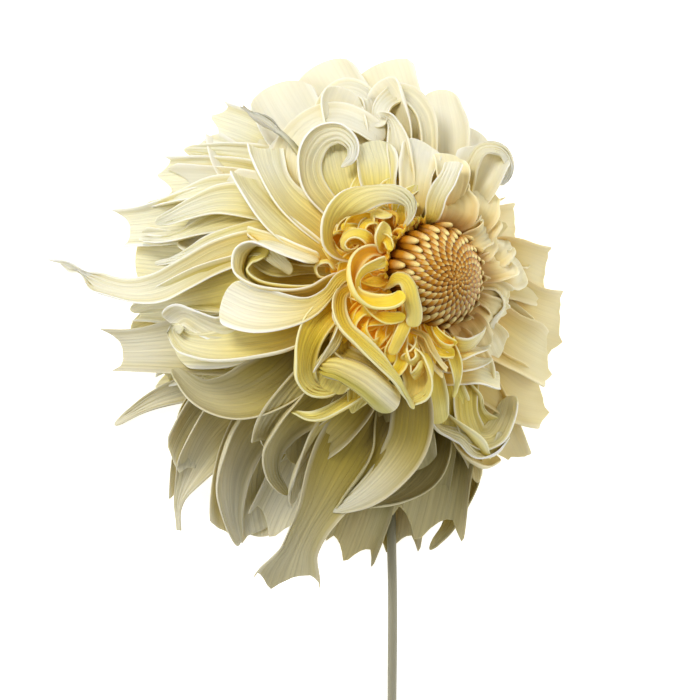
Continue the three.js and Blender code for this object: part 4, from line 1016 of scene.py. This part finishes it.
rng = np.random.default_rng(11)
for ring, (count, depth, share, width, foot) in enumerate(RINGS):
    for k in range(count):
        angle = 2 * math.pi * (k + 0.37 * ring) / count + rng.uniform(-0.06, 0.06)
        x0, y0, a, b = OUTLINE
        reach = share * rng.uniform(0.93, 1.03)
        if HANGING_SPAN[0] < angle < HANGING_SPAN[1]:
            reach *= HANGING_REACH
        end = np.array([x0 + a * reach * math.cos(angle), y0 + b * reach * math.sin(angle)])
        start = HEAD_MIDDLE + 20 * unit(end - HEAD_MIDDLE)
        sideways = np.array([-(end - start)[1], (end - start)[0]])
        sway = rng.uniform(-0.16, 0.16)
        route = []
        for f in (0.0, 0.3, 0.62, 1.0):
            spot = start + (end - start) * f + sideways * sway * math.sin(math.pi * f)
            dip = depth + 8 * (1 - f) - 4 * math.sin(math.pi * f) + 6 * smooth(0.4, 0.8, math.cos(angle))
            z = from_crown(*spot, dip)[2]
            dip -= max(0, 3 + 0.1 * depth * (1 - f) - z)  # no lower than the table
            route.append([*spot, dip])
        outline = ("tooth", "bat", "round", "fork")[rng.integers(4)] if ring else "round"
        facing = face([rng.uniform(-0.2, 0.2), rng.uniform(-0.1, 0.3), 1],
                      [rng.uniform(-0.5, 0.5), rng.uniform(-0.2, 0.4), 1])
        petal = ray(foot + rng.uniform(-1, 1), route, width * rng.uniform(0.85, 1.1), facing,
                    (60, 45, float(rng.uniform(-20, 60))), outline)
        look = {**PLAIN, "tone": ring_tone(angle), "ruffle": (1.4, 1.8), "thick": 0.6}
        add_petal(f"fill_{ring}_{k}", petal, look, FILL_SEED + 40 * ring + k)


# ---------------------------------------------------------------- disc of closed florets
GOLDEN_ANGLE = math.pi * (3 - math.sqrt(5))
DOME_RADIUS = DISC_RADIUS - 0.7
FLORET_WIDTH = (1.15, 3.4)  # at the pole and at the rim
FLORET_ASPECT = (1.3, 3.8)  # step towards the pole over step across, at the pole and at the rim
ROPE_STEPS = (8, 13, 21, 34, 55)  # florets this far apart in the spiral may lie end to end
FLORET_ALONG = (0, 0.04, 0.14, 0.3, 0.5, 0.7, 0.85, 0.95, 1.0)
FLORET_GIRTH = (0, 0.45, 0.75, 0.93, 1.0, 0.9, 0.66, 0.4, 0)
FLORET_SIDES = 8
FLORET_DARK, FLORET_BODY, FLORET_GLINT_COLOUR = (linear(c) for c in ((92, 44, 0), (198, 134, 26), (255, 238, 160)))
RIM_REDDENING = np.array([0.8, 0.55, 0.35])
CORE_RADIUS = DOME_RADIUS - 1.2
CORE_RINGS = 11
CORE_SIDES = 48


def shell_faces(first, rings, sides):
    """Faces of a closed shell. Its vertices, from number first on, are a pole, rings and the other pole, and
    the rings run anticlockwise, seen from outside the first pole."""
    last = first + rings * sides + 1
    faces = []
    for j in range(sides):
        n = (j + 1) % sides
        faces.append([first, first + 1 + j, first + 1 + n])
        faces.append([last, last - sides + n, last - sides + j])
        for row in range(first + 1, last - sides, sides):
            faces.append([row + j, row + sides + j, row + sides + n, row + n])
    return faces


def floret_grid():
    """Angle from the pole of every floret, from the pole outwards: each takes its own area of the dome."""
    polar = np.linspace(0, math.pi / 2, 4000)
    out = (polar / polar[-1]) ** 0.95
    width = FLORET_WIDTH[0] + (FLORET_WIDTH[1] - FLORET_WIDTH[0]) * out
    aspect = FLORET_ASPECT[0] + (FLORET_ASPECT[1] - FLORET_ASPECT[0]) * out**2.5
    density = 2 * math.pi * DISC_RADIUS**2 * np.sin(polar) / (width**2 * aspect)
    counted = np.cumsum(density) * (polar[1] - polar[0])
    k = np.arange(0.5, counted[-1])
    return np.interp(k, counted, polar), np.interp(k, counted, width), np.interp(k, counted, width * aspect)


def floret_heading(k, places, polar, step_length):
    """Where a floret's tip points: to the next one on the straightest rope it lies on, or to the pole."""
    out = places[k]
    inward = unit(out * math.cos(polar) - AXIS) * -1
    best, straight = inward, 0.0
    for step in ROPE_STEPS:
        if step <= k:
            ahead = places[k - step] - out
            ahead = unit(ahead - out * ahead.dot(out))
            near = np.linalg.norm(places[k - step] - out) * DOME_RADIUS < step_length * 1.7
            if ahead.dot(inward) > straight and near:
                best, straight = ahead, ahead.dot(inward)
    return best


def floret_colour(share, sine, upward, rim_reddening, level):
    """Colour at a share of a floret's length, with painted light: a painted highlight at the tip, painted
    shade at the foot where it lies between florets, on the underside and on the disc's lower side. Sine is 1
    on its top and -1 underneath.
    """
    # painted shade at the foot, between the florets, and a painted highlight at the tip
    shade = smooth(0.25, 0.72, share)
    glint = smooth(0.7, 0.98, share)
    colour = FLORET_DARK * (1 - shade) + FLORET_BODY * shade
    colour = (colour * (1 - glint) + FLORET_GLINT_COLOUR * glint) * level
    # painted shade on the disc's lower side and on each floret's underside and flanks
    colour = colour * (0.72 + 0.28 * smooth(-0.7, 0.35, upward)) * (0.7 + 0.34 * smooth(-0.3, 0.9, sine))
    # darker and redder towards the disc's rim
    return colour * (1 - rim_reddening + RIM_REDDENING * rim_reddening)


def disc_florets():
    """One mesh of all florets and the dark core under them, whose dark colour is painted shade in the gaps
    between the florets.
    """
    verts, faces, along, across, colours = [], [], [], [], []
    rng = np.random.default_rng(5)
    polars, widths, steps = floret_grid()
    azimuth = -GOLDEN_ANGLE * np.arange(len(polars))
    flat = ACROSS * np.cos(azimuth)[:, None] + UP * np.sin(azimuth)[:, None]
    places = AXIS * np.cos(polars)[:, None] + flat * np.sin(polars)[:, None]
    for k, out in enumerate(places):
        best = floret_heading(k, places, polars[k], steps[k])
        heading = unit(best + out * (0.16 + rng.uniform(-0.05, 0.05)))
        size = steps[k] * 1.8
        width = widths[k] * 1.2
        beside = unit(np.cross(heading, out))
        above = np.cross(beside, heading)
        start = BASE + AXIS * GAP + out * (DOME_RADIUS - 0.5 * width) - heading * size * 0.5
        rim_reddening = 0.4 * smooth(0.75, 1.0, polars[k] / (math.pi / 2))
        faces += shell_faces(len(verts), len(FLORET_ALONG) - 2, FLORET_SIDES)
        for share, girth in zip(FLORET_ALONG, FLORET_GIRTH):
            middle = start + heading * size * share + above * width * 0.14 * math.sin(math.pi * share)
            for j in range(FLORET_SIDES if girth else 1):
                a = 2 * math.pi * j / FLORET_SIDES
                verts.append(middle + (beside * math.cos(a) + above * 0.9 * math.sin(a)) * width / 2 * girth)
                along.append(share)
                across.append(math.cos(a))
                colours.append(floret_colour(share, math.sin(a), out[1], rim_reddening, rng.uniform(0.95, 1.05)))

    florets_end = len(verts)
    faces += shell_faces(florets_end, CORE_RINGS, CORE_SIDES)
    for i in range(CORE_RINGS + 1):
        polar = math.pi / 2 * i / CORE_RINGS
        for j in range(CORE_SIDES if i else 1):
            flat = around_axis(2 * math.pi * j / CORE_SIDES)
            verts.append(BASE + AXIS * GAP + (AXIS * math.cos(polar) + flat * math.sin(polar)) * CORE_RADIUS)
    verts.append(BASE + AXIS * GAP)
    spare = len(verts) - florets_end
    # painted shade: the core takes the florets' dark colour, which shows in the gaps
    colours += [FLORET_DARK] * spare
    colours = np.hstack([colours, np.zeros((len(colours), 1))])
    return np.array(verts), faces, along + [0.0] * spare, across + [0.0] * spare, colours


floret_verts, floret_faces, *floret_values = disc_florets()
florets = new_mesh("disc_florets", floret_verts, floret_faces, floret_material(), "floret", *floret_values)
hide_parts("disc")

# ---------------------------------------------------------------- receptacle, stem and bracts
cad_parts["receptacle"].data.materials.clear()
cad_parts["receptacle"].data.materials.append(tissue_material())

STEM_SIDES = 32
STEM_RINGS = 260
STEM_ROUTE = (BASE - AXIS * (RECEPTACLE_LENGTH + GAP), BASE - AXIS * (RECEPTACLE_LENGTH + 5), (-22, -6, 21),
              (-19, -24, 13), (-13.5, -52, 9), (-11.3, -98, 6), (-11.3, -141, 3.5), (-12, -200, STEM_RADIUS))


def stem_mesh():
    """A ribbed round rod from the receptacle to the cut end, slightly bent and unevenly thick."""
    centre, tangent, _ = even_points(np.array(STEM_ROUTE), STEM_RINGS)
    share = np.linspace(0, 1, STEM_RINGS)
    waist = 0.35 * (1 - smooth(0, 0.06, share)) + 0.02 * np.sin(31 * share) * smooth(0, 0.1, share)
    right = np.array([1.0, 0.0, 0.2])
    one = unit(right - tangent * (tangent @ right)[:, None])
    two = np.cross(tangent, one)
    angle = 2 * math.pi * np.arange(STEM_SIDES) / STEM_SIDES
    rib = 1 + 0.025 * np.cos(8 * angle) + 0.02 * np.cos(3 * angle + 1)
    spread = (STEM_RADIUS * (1 + waist))[:, None, None] * rib[None, :, None]
    rings = centre[:, None] + spread * (one[:, None] * np.cos(angle)[None, :, None]
                                        + two[:, None] * np.sin(angle)[None, :, None])
    verts = np.vstack([centre[:1], rings.reshape(-1, 3), centre[-1:]])
    faces = [corners[::-1] for corners in shell_faces(0, STEM_RINGS, STEM_SIDES)]
    along = np.concatenate([[0], np.repeat(share, STEM_SIDES), [1]])
    across = np.concatenate([[0], np.tile(np.cos(angle), STEM_RINGS), [0]])
    top, bottom = linear(TONES["stalk"][0]), linear(TONES["stalk"][2])
    colour = top + (bottom - top) * along[:, None]
    return verts, faces, along, across, np.hstack([colour, np.zeros((len(colour), 1))])


stem_verts, stem_faces, *stem_values = stem_mesh()
stem = new_mesh("stem_skin", stem_verts, stem_faces, GREEN_SKIN, "stem", *stem_values)
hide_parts("stem")

BRACTS = 5
# Each bract's route, as distances away from the axis and along it.
BRACT_ROUTE = ((9.8, -24.5), (13.5, -27.5), (16.5, -31.5), (17.5, -37), (16.5, -42))
BRACT_WIDTH = 8
BRACT_LOOK = {**PLAIN, "tone": "leaf", "thick": 1.0, "roll": (20, 20), "ruffle": (0.4, 1.5), "glow": 0,
              "lip": 0}
for number in range(BRACTS):
    out = around_axis(2 * math.pi * (number + 0.25) / BRACTS)
    points = np.array([BASE + out * away + AXIS * height for away, height in BRACT_ROUTE])
    made = ribbon(points, BRACT_WIDTH, face(out + AXIS * 0.4), 40, "leaf", BRACT_LOOK, BRACT_SEED + number)
    verts, faces, *values = made
    bract = new_mesh(f"bract_skin_{number + 1}", verts, faces, GREEN_SKIN, "bract", *values)
    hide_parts(f"bract_{number + 1}")

# ---------------------------------------------------------------- camera, light and table
MIDDLE = np.array([-25.67, -24.33, HEAD_HEIGHT])  # the photograph's centre, at 3 pixels to the millimetre
PICTURE_WIDTH = 233.3
CAMERA_DISTANCE = 2000.0
SENSOR = 36

camera = bpy.data.objects.new("camera", bpy.data.cameras.new("camera"))
camera.data.sensor_width = SENSOR
camera.data.lens = SENSOR * CAMERA_DISTANCE / PICTURE_WIDTH
camera.data.clip_end = 20
camera.location = to_frame(MIDDLE + np.array([0, 0, CAMERA_DISTANCE]))
bpy.context.collection.objects.link(camera)
bpy.context.scene.camera = camera


def area_light(name, place, size, power, colour):
    """A round light that shines at the middle of the frame. Its place and size are in metres."""
    light = bpy.data.objects.new(name, bpy.data.lights.new(name, "AREA"))
    light.data.shape = "DISK"
    light.data.size = size
    light.data.energy = power
    light.data.color = colour
    light.location = place
    light.rotation_mode = "QUATERNION"
    light.rotation_quaternion = (-light.location).to_track_quat("-Z", "Y")
    bpy.context.collection.objects.link(light)


area_light("key", (-0.45, 0.75, 1.05), 0.45, 9.4, (1.0, 0.985, 0.96))
area_light("right", (0.9, 0.1, 0.9), 0.8, 4.2, (1.0, 0.99, 0.96))
area_light("fill", (-1.0, 0.1, 0.8), 0.6, 3.6, (1.0, 0.99, 0.97))

world = bpy.data.worlds.new("studio")
world.use_nodes = True
world.node_tree.nodes["Background"].inputs["Color"].default_value = (1, 1, 1, 1)
world.node_tree.nodes["Background"].inputs["Strength"].default_value = 0.36
bpy.context.scene.world = world
bpy.context.scene.view_settings.view_transform = "Standard"

TABLE_REACH = 6.0  # metres from its middle to each edge
table_mesh = bpy.data.meshes.new("table")
corners = [(x * TABLE_REACH, y * TABLE_REACH, 0) for x, y in ((-1, -1), (1, -1), (1, 1), (-1, 1))]
table_mesh.from_pydata(corners, [], [(0, 1, 2, 3)])
table = bpy.data.objects.new("table", table_mesh)
bpy.context.collection.objects.link(table)
paper, _, shader = new_material("white_paper")
fill(shader, {"Base Color": (0.95, 0.95, 0.95, 1), "Roughness": 0.9, "Emission Color": (1, 1, 1, 1),
              "Emission Strength": 0.7})
table_mesh.materials.append(paper)
